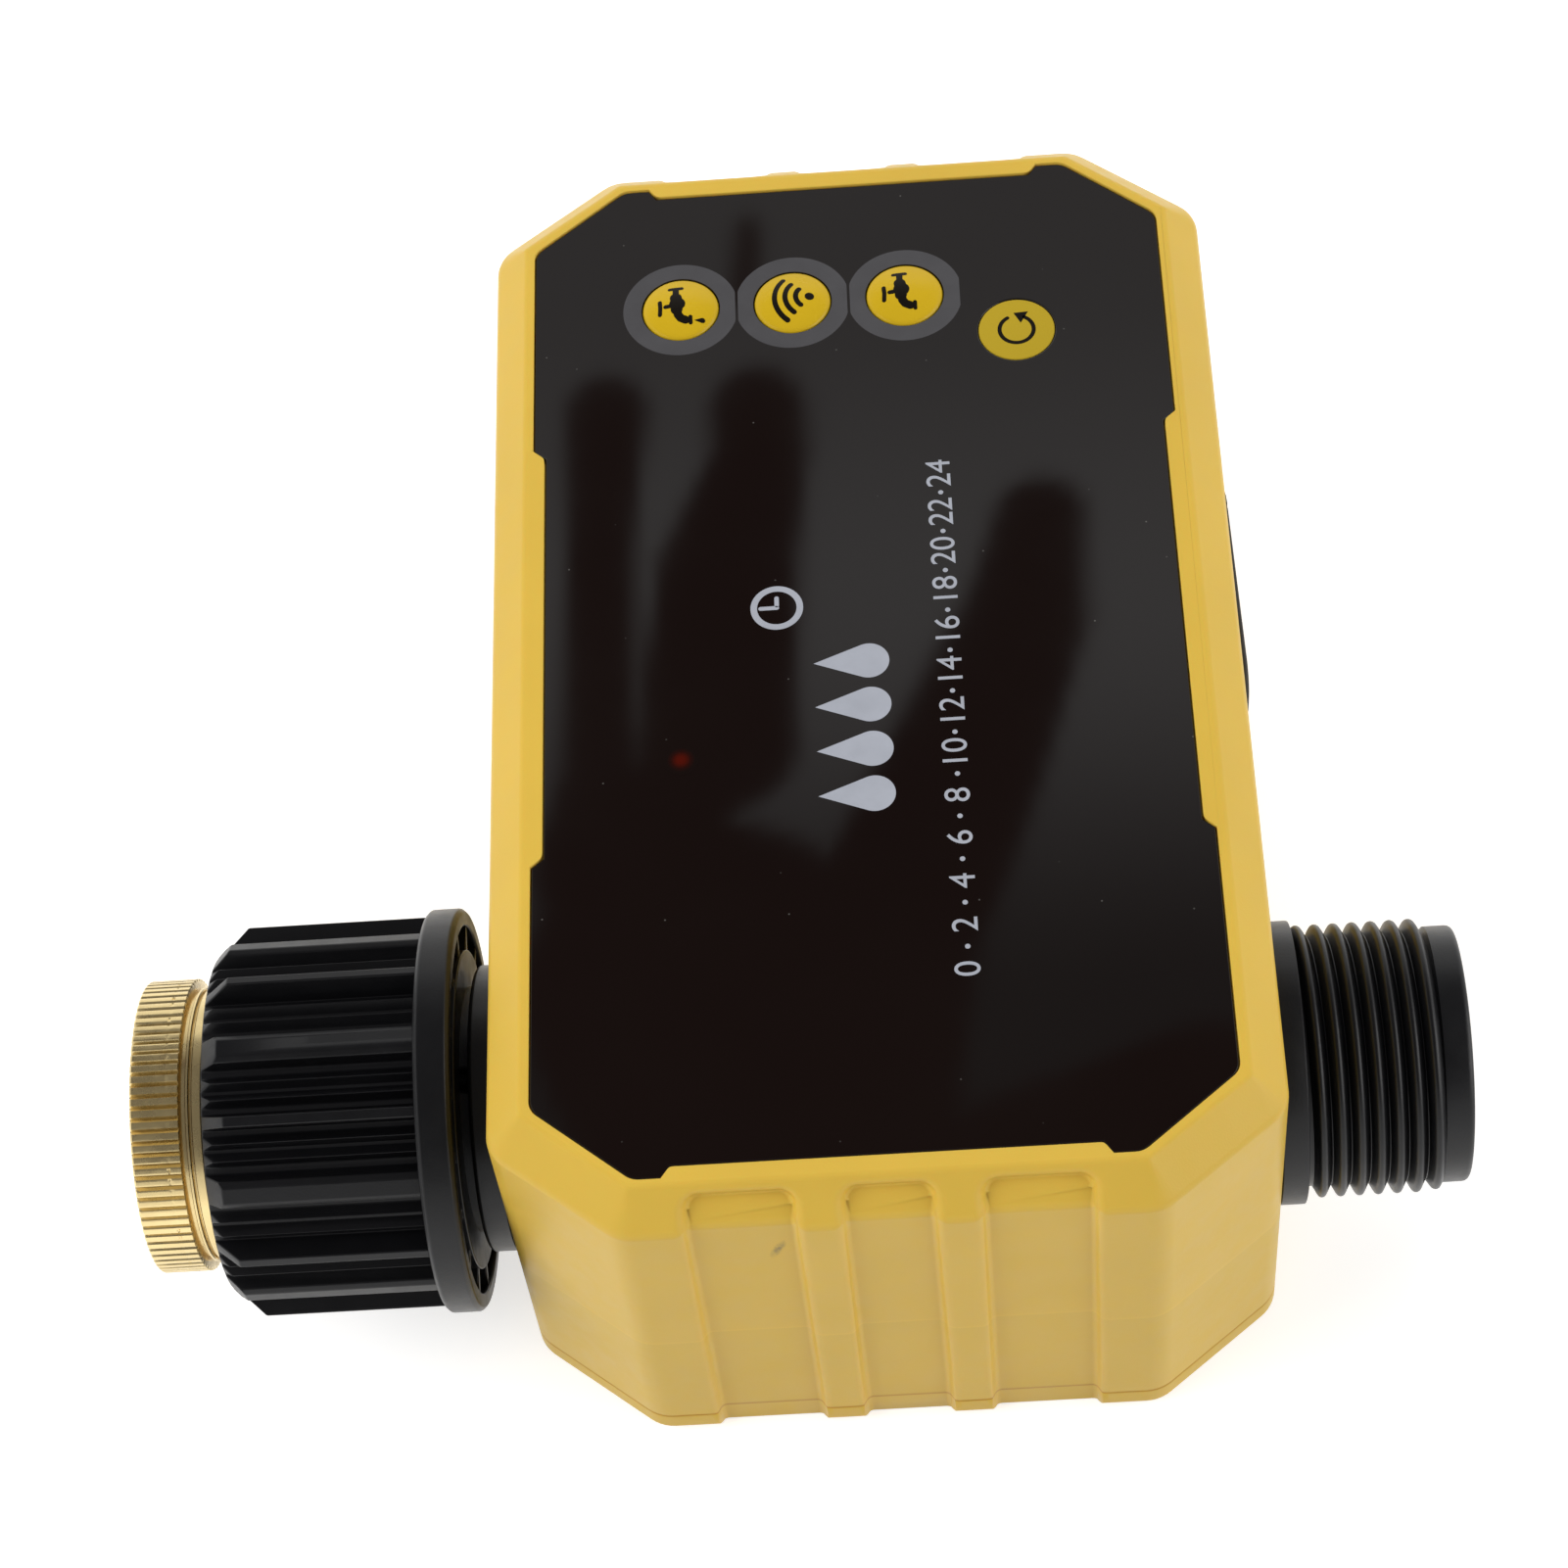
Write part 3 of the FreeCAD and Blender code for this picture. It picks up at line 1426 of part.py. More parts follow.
def make_inlet_nut():
    """Swivel nut: flange, eight-fold ribs and a cored rear face."""
    owner = body("inlet_nut", "water_y", "water_z")
    sk = sketch(owner, "XY_Plane")
    outline = [
        ("nut_rear", "nut_rear_r"),
        ("nut_rear", "nut_flange_r - nut_flange_bevel"),
        ("nut_rear + nut_flange_bevel", "nut_flange_r"),
        ("nut_flange_out - nut_flange_bevel", "nut_flange_r"),
        ("nut_flange_out", "nut_flange_r - nut_flange_bevel"),
        ("nut_flange_out", "nut_core_r"),
        ("nut_out", "nut_core_r"),
        ("nut_out", "nut_thread_r + nut_mouth"),
        ("nut_out - nut_mouth", "nut_thread_r"),
        ("nut_cavity_out", "nut_thread_r"),
        ("nut_cavity_out", "nut_cavity_r"),
        ("nut_cavity_in", "nut_cavity_r"),
        ("nut_cavity_in", "nut_rear_r"),
    ]
    polygon(sk, [(negative(x), r) for x, r in outline])
    revolve(owner, sk, "H_Axis")

    sk = sketch(owner, "YZ_Plane", negative("nut_flange_out - rib_root"))
    polygon(sk, [
        around("rib_foot_r", "0 - rib_foot_half"),
        around("rib_r", "0 - rib_half"),
        around("rib_r", "rib_half"),
        around("rib_foot_r", "rib_foot_half"),
    ])
    for middle in ("ridge_near", "ridge_far", "0 - ridge_near", "0 - ridge_far"):
        polygon(sk, [
            around("rib_foot_r", middle + " - ridge_half"),
            around("ridge_r", middle),
            around("rib_foot_r", middle + " + ridge_half"),
        ])
    polygon(sk, [
        around("rib_foot_r", "land_turn - land_foot_half"),
        around("land_side_r", "land_turn - land_side_half"),
        around("land_r", "land_turn - land_half"),
        around("land_r", "land_turn + land_half"),
        around("land_side_r", "land_turn + land_side_half"),
        around("rib_foot_r", "land_turn + land_foot_half"),
    ])
    ribs = pad(owner, sk, "nut_long - nut_flange + rib_root", reverse=True)
    polar_pattern(owner, ribs, "X_Axis", "rib_count")

    sk = sketch(owner, "XY_Plane")
    polygon(sk, [
        (negative("nut_out"), "nut_core_r"),
        (negative("nut_rib_out - over"), "nut_core_r + rib_run + over"),
        (negative("nut_out + over"), "nut_core_r + rib_run + over"),
        (negative("nut_out + over"), "nut_core_r"),
    ])
    groove(owner, sk, "H_Axis")

    sk = sketch(owner, "XY_Plane")
    rectangle(sk, negative("nut_rear - over"), negative("nut_rear + core_deep"), "core_in_r", "core_out_r")
    groove(owner, sk, "H_Axis")
    sk = sketch(owner, "YZ_Plane", negative("nut_rear + core_deep"))
    rectangle(sk, "core_in_r - web_root", "core_out_r + web_root", "0 - web_thick/2", "web_thick/2")
    web = pad(owner, sk, "core_deep - web_set")
    polar_pattern(owner, web, "X_Axis", "web_count")
    return owner


def make_brass_adapter():
    outline = [
        ("brass_in", "brass_bore_r"),
        ("brass_in", "brass_male_r - brass_male_bevel"),
        ("brass_in + brass_male_bevel", "brass_male_r"),
        ("brass_groove_in", "brass_male_r"),
        ("brass_groove_in", "brass_groove_r"),
        ("brass_ring_in", "brass_groove_r"),
        ("brass_ring_in", "brass_ring_r"),
        ("brass_ring_out", "brass_ring_r"),
        ("brass_ring_out", "brass_groove_r"),
        ("brass_shoulder_in", "brass_groove_r"),
        ("brass_shoulder_in", "brass_shoulder_r"),
        ("brass_shoulder_out", "brass_shoulder_r"),
        ("brass_shoulder_out + brass_knurl_bevel", "brass_knurl_r"),
        ("brass_front_in", "brass_knurl_r"),
        ("brass_out", "brass_front_r"),
        ("brass_out", "brass_socket_r + brass_mouth"),
        ("brass_out - brass_mouth", "brass_socket_r"),
        ("brass_relief_out", "brass_socket_r"),
        ("brass_relief_out", "brass_relief_r"),
        ("brass_socket_in", "brass_relief_r"),
        ("brass_socket_in", "brass_bore_r"),
    ]
    return turned("brass_adapter", "X", [(negative(x), r) for x, r in outline], "water_y", "water_z")


def make_adapter_washer():
    return turned("adapter_washer", "X", [
        (negative("brass_socket_in"), "brass_washer_bore_r"),
        (negative("brass_socket_in"), "brass_washer_r"),
        (negative("brass_socket_in + brass_washer_thick"), "brass_washer_r"),
        (negative("brass_socket_in + brass_washer_thick"), "brass_washer_bore_r"),
    ], "water_y", "water_z")


def make_all():
    made = [
        make_front_shell(),
        make_back_cover(),
        make_case_gasket(),
        make_case_screws(),
        make_front_panel(),
        make_circuit_board(),
        make_board_screws(),
        make_key_switches(),
        make_status_led(),
        make_wifi_module(),
        make_charge_socket(),
        make_flap_root(),
        make_port_flap(),
        make_battery_cell(),
        make_battery_cradle(),
        make_motor_gearbox(),
        make_motor_can(),
        make_motor_screws(),
        make_valve_body(),
        make_ball_seats(),
        make_stem_seal(),
        make_inlet_fitting(),
        make_outlet_fitting(),
        make_wall_seals(),
        make_nut_clip(),
        make_inlet_washer(),
        make_filter_screen(),
        make_reset_key(),
        make_valve_ball(),
        make_valve_stem(),
        make_stem_coupler(),
        make_motor_output(),
        make_inlet_nut(),
        make_adapter_washer(),
        make_brass_adapter(),
    ]
    for label, x, y, _ in KEYS:
        if label != "reset":
            made.append(make_key(label, x, y))
        made.append(make_plunger(label, x, y))
    return made


def write_parts(made):
    doc.recompute()
    for item in doc.Objects:
        if "Invalid" in item.State or "Error" in item.State:
            raise RuntimeError("%s did not rebuild" % item.Label)
    os.makedirs("parts", exist_ok=True)
    for item in made:
        shape = item.Shape
        if shape.isNull() or not shape.isValid() or not shape.Solids:
            raise RuntimeError("%s is not a sound solid" % item.Label)
        shape.exportStep("parts/%s.step" % item.Label)
        box = shape.BoundBox
        print(item.Label, len(shape.Solids), round(shape.Volume, 1), [round(value, 2) for value in (
            box.XMin, box.XMax, box.YMin, box.YMax, box.ZMin, box.ZMax)])


write_parts(make_all())
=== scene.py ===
import json
import math
import bmesh
import bpy
from mathutils import Matrix, Vector


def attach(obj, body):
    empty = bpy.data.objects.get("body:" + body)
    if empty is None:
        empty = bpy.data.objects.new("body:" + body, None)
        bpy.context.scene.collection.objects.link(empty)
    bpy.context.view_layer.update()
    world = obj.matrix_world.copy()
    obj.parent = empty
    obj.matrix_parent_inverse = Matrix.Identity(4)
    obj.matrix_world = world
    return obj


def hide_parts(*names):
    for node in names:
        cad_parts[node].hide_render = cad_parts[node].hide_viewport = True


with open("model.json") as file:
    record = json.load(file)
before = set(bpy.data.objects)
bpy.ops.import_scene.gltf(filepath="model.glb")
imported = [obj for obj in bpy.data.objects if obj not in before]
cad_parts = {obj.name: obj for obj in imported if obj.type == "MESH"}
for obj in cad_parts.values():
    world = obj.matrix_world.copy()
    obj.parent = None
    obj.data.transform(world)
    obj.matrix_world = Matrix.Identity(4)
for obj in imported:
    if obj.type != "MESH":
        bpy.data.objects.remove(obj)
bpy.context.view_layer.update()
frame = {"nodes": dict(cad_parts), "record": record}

# Dressing of the irrigation controller, in the CAD frame. Lengths are written
# in millimetres and scaled by MM where used. The stage is in metres.

MM = 0.001

# Places and sizes that follow the CAD; MOULD_Z is the mould's parting line
WATER_Y = -37.75
WATER_Z = 23.25
PANEL_TOP = 46.3
CASE_TOP = 46.5
SEAM_Z = 3.3
MOULD_Z = 20.4
LED_X = -18.0
LED_Y = -13.5
KEY_Y = 41.95
KEY_X = {"open": -17.27, "wireless": -5.67, "close": 5.93}
KEY_R = 3.975
KEY_EDGE = PANEL_TOP + 0.05
KEY_TOP = PANEL_TOP + 0.9
RESET = (17.2, 36.5)
PITCH = 1.814
ROOT_R = 12.06

# How far the domed keys are lowered, so that their prints stay under the
# CAD's top
KEY_SINK = 0.02


# Materials

WHITE = (1.0, 1.0, 1.0)
BLACK = (0.0, 0.0, 0.0)


def link(tree, source, target):
    tree.links.new(source, target)


def shader_base(name, color, rough, metallic=0.0, **sockets):
    """Material with one Principled shader; uniform values sit on its sockets."""
    mat = bpy.data.materials.new(name)
    mat.use_nodes = True
    tree = mat.node_tree
    bsdf = tree.nodes["Principled BSDF"]
    bsdf.inputs["Base Color"].default_value = (*color, 1.0)
    bsdf.inputs["Roughness"].default_value = rough
    bsdf.inputs["Metallic"].default_value = metallic
    for key, value in sockets.items():
        bsdf.inputs[key.replace("_", " ")].default_value = value
    return mat, tree, bsdf


def noise(tree, scale, detail, rough, stretch=(1.0, 1.0, 1.0)):
    """Noise in the object's own space; scale is features per millimetre."""
    place = tree.nodes.new("ShaderNodeTexCoord")
    mapping = tree.nodes.new("ShaderNodeMapping")
    mapping.inputs["Scale"].default_value = stretch
    link(tree, place.outputs["Object"], mapping.inputs["Vector"])
    item = tree.nodes.new("ShaderNodeTexNoise")
    item.inputs["Scale"].default_value = scale / MM
    item.inputs["Detail"].default_value = detail
    item.inputs["Roughness"].default_value = rough
    link(tree, mapping.outputs["Vector"], item.inputs["Vector"])
    return item


def ramp(tree, source, stops):
    """Colour ramp over stops of (position, colour)."""
    item = tree.nodes.new("ShaderNodeValToRGB")
    marks = item.color_ramp.elements
    marks[0].position, marks[1].position = stops[0][0], stops[-1][0]
    for place, _ in stops[1:-1]:
        marks.new(place)
    for mark, (_, color) in zip(marks, stops):
        mark.color = (*color, 1.0)
    link(tree, source, item.inputs["Fac"])
    return item


def band(tree, source, high, stops):
    """Colour by a length in millimetres, from 0 to high."""
    spread = tree.nodes.new("ShaderNodeMapRange")
    spread.inputs["From Max"].default_value = high * MM
    link(tree, source, spread.inputs["Value"])
    return ramp(tree, spread.outputs["Result"], [(at / high, color) for at, color in stops])


def mixed(tree, kind, share, first, second):
    """Mix of two colours; share is a socket or a number, second a socket or a
    colour."""
    item = tree.nodes.new("ShaderNodeMix")
    item.data_type = "RGBA"
    item.blend_type = kind
    if isinstance(share, float):
        item.inputs["Factor"].default_value = share
    else:
        link(tree, share, item.inputs["Factor"])
    link(tree, first, item.inputs["A"])
    if isinstance(second, tuple):
        item.inputs["B"].default_value = (*second, 1.0)
    else:
        link(tree, second, item.inputs["B"])
    return item.outputs["Result"]


def vector_math(tree, kind, source, second=None):
    item = tree.nodes.new("ShaderNodeVectorMath")
    item.operation = kind
    link(tree, source, item.inputs[0])
    if second:
        item.inputs[1].default_value = second
    return item


def drift_color(tree, dark, light, scale):
    """Slow drift between two near tones."""
    item = noise(tree, scale, 3.0, 0.55)
    return ramp(tree, item.outputs["Fac"], [(0.3, dark), (0.7, light)]).outputs["Color"]


def tone(tree, bsdf, dark, light, scale):
    link(tree, drift_color(tree, dark, light, scale), bsdf.inputs["Base Color"])


def gloss(tree, bsdf, low, high, scale):
    """Slow drift of the roughness between two values."""
    item = noise(tree, scale, 3.0, 0.6)
    spread = tree.nodes.new("ShaderNodeMapRange")
    spread.inputs["From Min"].default_value = 0.3
    spread.inputs["From Max"].default_value = 0.7
    spread.inputs["To Min"].default_value = low
    spread.inputs["To Max"].default_value = high
    link(tree, item.outputs["Fac"], spread.inputs["Value"])
    link(tree, spread.outputs["Result"], bsdf.inputs["Roughness"])


def grain(tree, bsdf, scale, depth, detail=2.0):
    """Fine surface texture; depth is in millimetres."""
    item = noise(tree, scale, detail, 0.6)
    bump = tree.nodes.new("ShaderNodeBump")
    bump.inputs["Distance"].default_value = depth * MM
    link(tree, item.outputs["Fac"], bump.inputs["Height"])
    link(tree, bump.outputs["Normal"], bsdf.inputs["Normal"])


def plastic(name, color, rough, drift, texture, texture_scale, **sockets):
    """Moulded plastic or rubber: drift is the spread of its tone, and texture
    the depth of its grain in millimetres."""
    mat, tree, bsdf = shader_base(name, color, rough, **sockets)
    dark = tuple(c * (1 - drift) for c in color)
    light = tuple(c * (1 + drift) for c in color)
    tone(tree, bsdf, dark, light, 0.05)
    gloss(tree, bsdf, rough * 0.88, rough * 1.12, 0.4)
    grain(tree, bsdf, texture_scale, texture)
    return mat


def metal(name, color, rough, texture=0.004, scale=3.0):
    mat, tree, bsdf = shader_base(name, color, rough, metallic=1.0)
    tone(tree, bsdf, tuple(c * 0.86 for c in color), color, 0.12)
    gloss(tree, bsdf, rough * 0.75, rough * 1.3, 0.5)
    grain(tree, bsdf, scale, texture, 3.0)
    return mat


# Case: its colour, and over it painted shade below the parting line, a painted
# highlight on that line and painted shade in the seam
CASE_YELLOW = (0.80, 0.525, 0.073)
LOWER_SHADE = (0.968, 0.975, 0.985)
PARTING_HIGHLIGHT = (1.04, 1.05, 1.06)
SEAM_SHADE = (0.74, 0.50, 0.27)

# Scuff on the near end wall: place, turn in degrees about Y, squeeze along
# each axis, and colour
SCUFF = (-10.5, -61.6, 37.4)
SCUFF_TURN = -22
SCUFF_SQUEEZE = (1.9, 0.6, 0.55)
SCUFF_BROWN = (0.26, 0.18, 0.07)


def scuff_share(tree, place):
    """How much of the scuff covers a point: a broken, slanted stroke."""
    offset = vector_math(tree, "SUBTRACT", place, tuple(c * MM for c in SCUFF))
    turned = tree.nodes.new("ShaderNodeVectorRotate")
    turned.rotation_type = "Y_AXIS"
    turned.inputs["Angle"].default_value = math.radians(SCUFF_TURN)
    link(tree, offset.outputs["Vector"], turned.inputs["Vector"])
    squeezed = vector_math(tree, "MULTIPLY", turned.outputs["Vector"], SCUFF_SQUEEZE)
    away = vector_math(tree, "LENGTH", squeezed.outputs["Vector"])
    near = band(tree, away.outputs["Value"], 1.2,
                [(0.0, WHITE), (0.35, (0.8, 0.8, 0.8)), (1.1, BLACK)])
    broken = noise(tree, 2.2, 2.0, 0.6, (1.0, 1.0, 0.5))
    patch = ramp(tree, broken.outputs["Fac"], [(0.34, (0.1, 0.1, 0.1)), (0.60, (0.9, 0.9, 0.9))])
    return mixed(tree, "MULTIPLY", 1.0, near.outputs["Color"], patch.outputs["Color"])


def case_material():
    """Satin yellow moulding: slow drift of tone, a painted highlight on the parting
    line with painted shade below it, painted shade in the seam and one scuff."""
    mat, tree, bsdf = shader_base("case_yellow", CASE_YELLOW, 0.41, Subsurface_Weight=0.12,
                                  Subsurface_Scale=0.0015, Specular_IOR_Level=0.32)
    color = drift_color(tree, tuple(c * 0.965 for c in CASE_YELLOW),
                        tuple(c * 1.035 for c in CASE_YELLOW), 0.05)
    place = tree.nodes.new("ShaderNodeTexCoord")
    split = tree.nodes.new("ShaderNodeSeparateXYZ")
    link(tree, place.outputs["Object"], split.inputs["Vector"])
    # painted light by height: painted shade below the parting line and in the seam, and a painted
    # highlight along the parting line
    heights = band(tree, split.outputs["Z"], CASE_TOP, [
        (0.0, LOWER_SHADE), (SEAM_Z - 0.22, LOWER_SHADE), (SEAM_Z - 0.06, SEAM_SHADE),
        (SEAM_Z + 0.06, SEAM_SHADE), (SEAM_Z + 0.22, LOWER_SHADE), (MOULD_Z - 0.22, LOWER_SHADE),
        (MOULD_Z - 0.05, PARTING_HIGHLIGHT), (MOULD_Z + 0.2, WHITE), (CASE_TOP, WHITE)])
    color = mixed(tree, "MULTIPLY", 1.0, color, heights.outputs["Color"])
    share = scuff_share(tree, place.outputs["Object"])
    color = mixed(tree, "MIX", share, color, SCUFF_BROWN)
    link(tree, color, bsdf.inputs["Base Color"])
    gloss(tree, bsdf, 0.36, 0.46, 0.4)
    grain(tree, bsdf, 5.0, 0.012)
    return mat


def panel_material():
    """Gloss-coated black sheet with faint flow marks and a few specks of dust."""
    mat, tree, bsdf = shader_base("panel_gloss", (0.006, 0.0035, 0.003), 0.06,
                                  Specular_IOR_Level=0.5)
    sheet = drift_color(tree, (0.0055, 0.0030, 0.0026), (0.0065, 0.0040, 0.0034), 0.03)
    gloss(tree, bsdf, 0.03, 0.045, 0.06)
    grain(tree, bsdf, 0.035, 0.02, 1.0)
    place = tree.nodes.new("ShaderNodeTexCoord")
    cells = tree.nodes.new("ShaderNodeTexVoronoi")
    cells.voronoi_dimensions = "2D"
    cells.inputs["Scale"].default_value = 0.07 / MM
    link(tree, place.outputs["Object"], cells.inputs["Vector"])
    speck = ramp(tree, cells.outputs["Distance"], [(0.003, WHITE), (0.0075, BLACK)])
    uneven = mixed(tree, "MULTIPLY", 1.0, speck.outputs["Color"], cells.outputs["Color"])
    color = mixed(tree, "MIX", uneven, sheet, (0.15, 0.145, 0.135))
    link(tree, color, bsdf.inputs["Base Color"])
    return mat


def led_material():
    """Dark window over a small red light: the colour fades out from its middle."""
    mat, tree, bsdf = shader_base("led_red", (0.03, 0.003, 0.002), 0.05, Specular_IOR_Level=0.5)
    place = tree.nodes.new("ShaderNodeTexCoord")
    away = vector_math(tree, "DISTANCE", place.outputs["Object"],
                       (LED_X * MM, LED_Y * MM, PANEL_TOP * MM))
    colors = band(tree, away.outputs["Value"], 1.5, [
        (0.0, (0.085, 0.004, 0.001)), (0.45, (0.065, 0.004, 0.001)),
        (0.93, (0.018, 0.003, 0.002)), (1.35, (0.006, 0.0035, 0.003))])
    link(tree, colors.outputs["Color"], bsdf.inputs["Base Color"])
    grain(tree, bsdf, 0.5, 0.002)
    return mat


def print_material(name, color, rough=0.35, shine=0.4):
    mat, tree, bsdf = shader_base(name, color, rough, Specular_IOR_Level=shine)
    tone(tree, bsdf, tuple(c * 0.93 for c in color), tuple(c * 1.05 for c in color), 0.3)
    grain(tree, bsdf, 3.0, 0.004)
    return mat


# By the record's material slots
MATS = {
    "case": case_material(),
    "panel": panel_material(),
    "led": led_material(),
    "key": plastic("key_yellow", (0.69, 0.45, 0.012), 0.26, 0.05, 0.006, 4.0,
                   Specular_IOR_Level=0.22),
    "flap": plastic("flap_rubber", (0.018, 0.015, 0.012), 0.62, 0.15, 0.02, 4.0),
    "fitting": plastic("fitting_black", (0.0045, 0.0045, 0.0053), 0.36, 0.2, 0.010, 4.0,
                       Specular_IOR_Level=0.34),
    "seal": plastic("seal_rubber", (0.012, 0.012, 0.012), 0.65, 0.2, 0.02, 4.0),
    "steel": metal("zinc_steel", (0.62, 0.61, 0.58), 0.32),
    "board": plastic("board_green", (0.012, 0.12, 0.045), 0.35, 0.25, 0.01, 2.0),
    "switch": plastic("switch_black", (0.02, 0.02, 0.02), 0.45, 0.2, 0.008, 5.0),
    "can": metal("plain_steel", (0.60, 0.60, 0.60), 0.3),
    "cell": plastic("cell_sleeve", (0.03, 0.14, 0.38), 0.3, 0.1, 0.01, 1.5),
    "frame_black": plastic("frame_black", (0.02, 0.02, 0.022), 0.5, 0.2, 0.012, 4.0),
    "valve_grey": plastic("valve_grey", (0.16, 0.17, 0.18), 0.5, 0.1, 0.012, 4.0),
    "seat": plastic("seat_white", (0.78, 0.78, 0.75), 0.4, 0.04, 0.006, 4.0),
    "ball": metal("ball_plated", (0.78, 0.78, 0.78), 0.12, texture=0.001),
    "brass": metal("brass", (0.86, 0.68, 0.34), 0.28, scale=2.5),
}
KEY_FLAT = plastic("key_flat_yellow", (0.53, 0.372, 0.024), 0.35, 0.05, 0.006, 4.0,
                   Specular_IOR_Level=0.12)
INK_LIGHT = print_material("ink_light", (0.44, 0.46, 0.52))
INK_RING = print_material("ink_ring", (0.074, 0.072, 0.077), 0.10)
INK_DARK = print_material("ink_dark", (0.0085, 0.0065, 0.0045), shine=0.12)


# Mesh building

def ease(value):
    """Smooth step from 0 to 1."""
    value = min(1.0, max(0.0, value))
    return value * value * (3 - 2 * value)


def placed(name, data):
    """New object in the scene."""
    obj = bpy.data.objects.new(name, data)
    bpy.context.scene.collection.objects.link(obj)
    return obj


def finish_mesh(name, verts, faces, body, mat, sharp, drop=()):
    mesh = bpy.data.meshes.new(name)
    mesh.from_pydata([Vector(v) * MM for v in verts], [], faces)
    mesh.validate()
    mesh.update()
    mesh.materials.append(mat)
    mesh.shade_smooth()
    mesh.set_sharp_from_angle(angle=math.radians(sharp))
    obj = placed(name, mesh)
    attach(obj, body)
    if drop:
        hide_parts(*drop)


def joined(*parts):
    """Several (verts, faces) lists as one."""
    verts, faces = [], []
    for more_verts, more_faces in parts:
        shift = len(verts)
        verts.extend(more_verts)
        faces.extend(tuple(i + shift for i in face) for face in more_faces)
    return verts, faces


def around(x, radius, turn):
    """Point of the water line's circle; turn runs from +Y towards +Z."""
    return (x, WATER_Y + radius * math.cos(turn), WATER_Z + radius * math.sin(turn))


def skin(here, there, size):
    """Faces between two closed rings of points, which start at two indices."""
    return [(here + i, here + (i + 1) % size, there + (i + 1) % size, there + i)
            for i in range(size)]


def lathe(profile, count, radius_at=None):
    """Closed section (x, r) turned round the water line."""
    verts, faces = [], []
    size = len(profile)
    for step in range(count):
        turn = 2 * math.pi * step / count
        for place, (x, radius) in enumerate(profile):
            if radius_at:
                radius = radius_at(place, x, radius, step)
            verts.append(around(x, radius, turn))
        faces.extend(skin(step * size, (step + 1) % count * size, size))
    return verts, faces


# Degrees over which a thread's ridge rises at its ends, and its least rise
RUN_OUT = 80.0
LEAST_RISE = 0.02


def helix(section, start, end, x_at, steps):
    """Thread ridge: section (dx, r) swept from start to end degrees; the ends
    sink to the radius of the section's first point."""
    verts, faces = [], []
    size = len(section)
    foot = section[0][1]
    rings = int((end - start) / 360.0 * steps)
    for ring in range(rings + 1):
        turn = start + (end - start) * ring / rings
        rise = ease(min((turn - start) / RUN_OUT, (end - turn) / RUN_OUT))
        rise = LEAST_RISE + (1 - LEAST_RISE) * rise
        for dx, radius in section:
            radius = foot + (radius - foot) * rise
            verts.append(around(x_at(turn) + dx, radius, math.radians(turn)))
    for ring in range(rings):
        faces.extend(skin(ring * size, (ring + 1) * size, size))
    faces.append(tuple(range(size)))
    faces.append(tuple(rings * size + i for i in reversed(range(size))))
    return verts, faces


# Thread ridges, as (dx, share of the height): a cut one, and a moulded one
# with a rounder crest and narrower roots
CUT_RIDGE = [(-0.92, -0.10), (-0.80, 0.02), (-0.62, 0.22), (-0.26, 0.86), (-0.13, 0.97),
             (0.0, 1.0), (0.13, 0.97), (0.26, 0.86), (0.62, 0.22), (0.80, 0.02), (0.92, -0.10)]
MOULDED_RIDGE = [(-0.94, -0.12), (-0.86, 0.02), (-0.66, 0.34), (-0.44, 0.71), (-0.29, 0.90),
                 (-0.14, 0.98), (0.0, 1.0), (0.14, 0.98), (0.29, 0.90), (0.44, 0.71),
                 (0.66, 0.34), (0.86, 0.02), (0.94, -0.12)]


def ridge(rows, crest, root):
    return [(dx, root + (crest - root) * rise) for dx, rise in rows]


# Outlet fitting with its moulded thread

# Thread: radius of its crest, start and end in degrees, its place along X at
# half a turn, and steps for each turn
OUTLET_CREST = 13.22
OUTLET_TURNS = (-60, 2425)
OUTLET_THREAD_X = 41.0
OUTLET_STEPS = 120

# Steps round the fitting, and its section as (x, radius)
OUTLET_SIDES = 144
OUTLET_PROFILE = [
    (11.0, 7.0), (11.0, 11.8), (11.2, 12.0), (24.0, 12.0), (24.0, 12.8), (34.75, 12.8),
    (34.75, 11.4), (36.55, 11.4), (36.55, 12.8), (36.9, 12.8), (36.9, 13.6), (37.05, 13.75),
    (39.3, 13.75), (39.45, 13.7), (39.5, 13.55), (39.5, 12.3), (39.62, 12.1), (39.8, ROOT_R),
    (52.1, ROOT_R), (52.3, 12.2), (52.5, 12.4), (54.6, 12.4), (54.85, 12.36), (55.05, 12.24),
    (55.16, 12.08), (55.2, 11.85), (55.2, 7.6), (55.1, 7.35), (54.9, 7.25), (53.6, 7.0),
]


def outlet():
    thread = helix(ridge(MOULDED_RIDGE, OUTLET_CREST, ROOT_R), *OUTLET_TURNS,
                   lambda turn: OUTLET_THREAD_X + PITCH * (turn - 180) / 360, OUTLET_STEPS)
    verts, faces = joined(lathe(OUTLET_PROFILE, OUTLET_SIDES), thread)
    finish_mesh("outlet_spigot", verts, faces, "case", MATS["fitting"],
                sharp=30, drop=["outlet_fitting"])


# Brass adapter: knurled rim, shoulder, ring and both threads

# Section as (x, radius), before and after the knurl
BRASS_INNER = [(-58.9, 8.0), (-58.9, 11.0), (-61.1, 11.0), (-61.1, 10.48), (-71.45, 10.48),
               (-71.6, 10.55), (-71.9, 10.9), (-71.9, 13.3), (-71.9, 13.9)]
BRASS_REAR = [
    (-67.2, 14.05), (-67.16, 13.9), (-67.14, 12.95), (-66.76, 12.9), (-66.73, 13.32),
    (-66.66, 13.42), (-66.46, 13.42), (-66.38, 13.32), (-66.35, 12.95), (-66.2, 12.95),
    (-66.17, 13.16), (-66.08, 13.26), (-65.3, 13.26), (-65.12, 13.14), (-64.9, 12.6),
    (-64.7, ROOT_R), (-53.6, ROOT_R), (-53.2, 11.9), (-53.05, 11.7), (-53.05, 8.0),
]

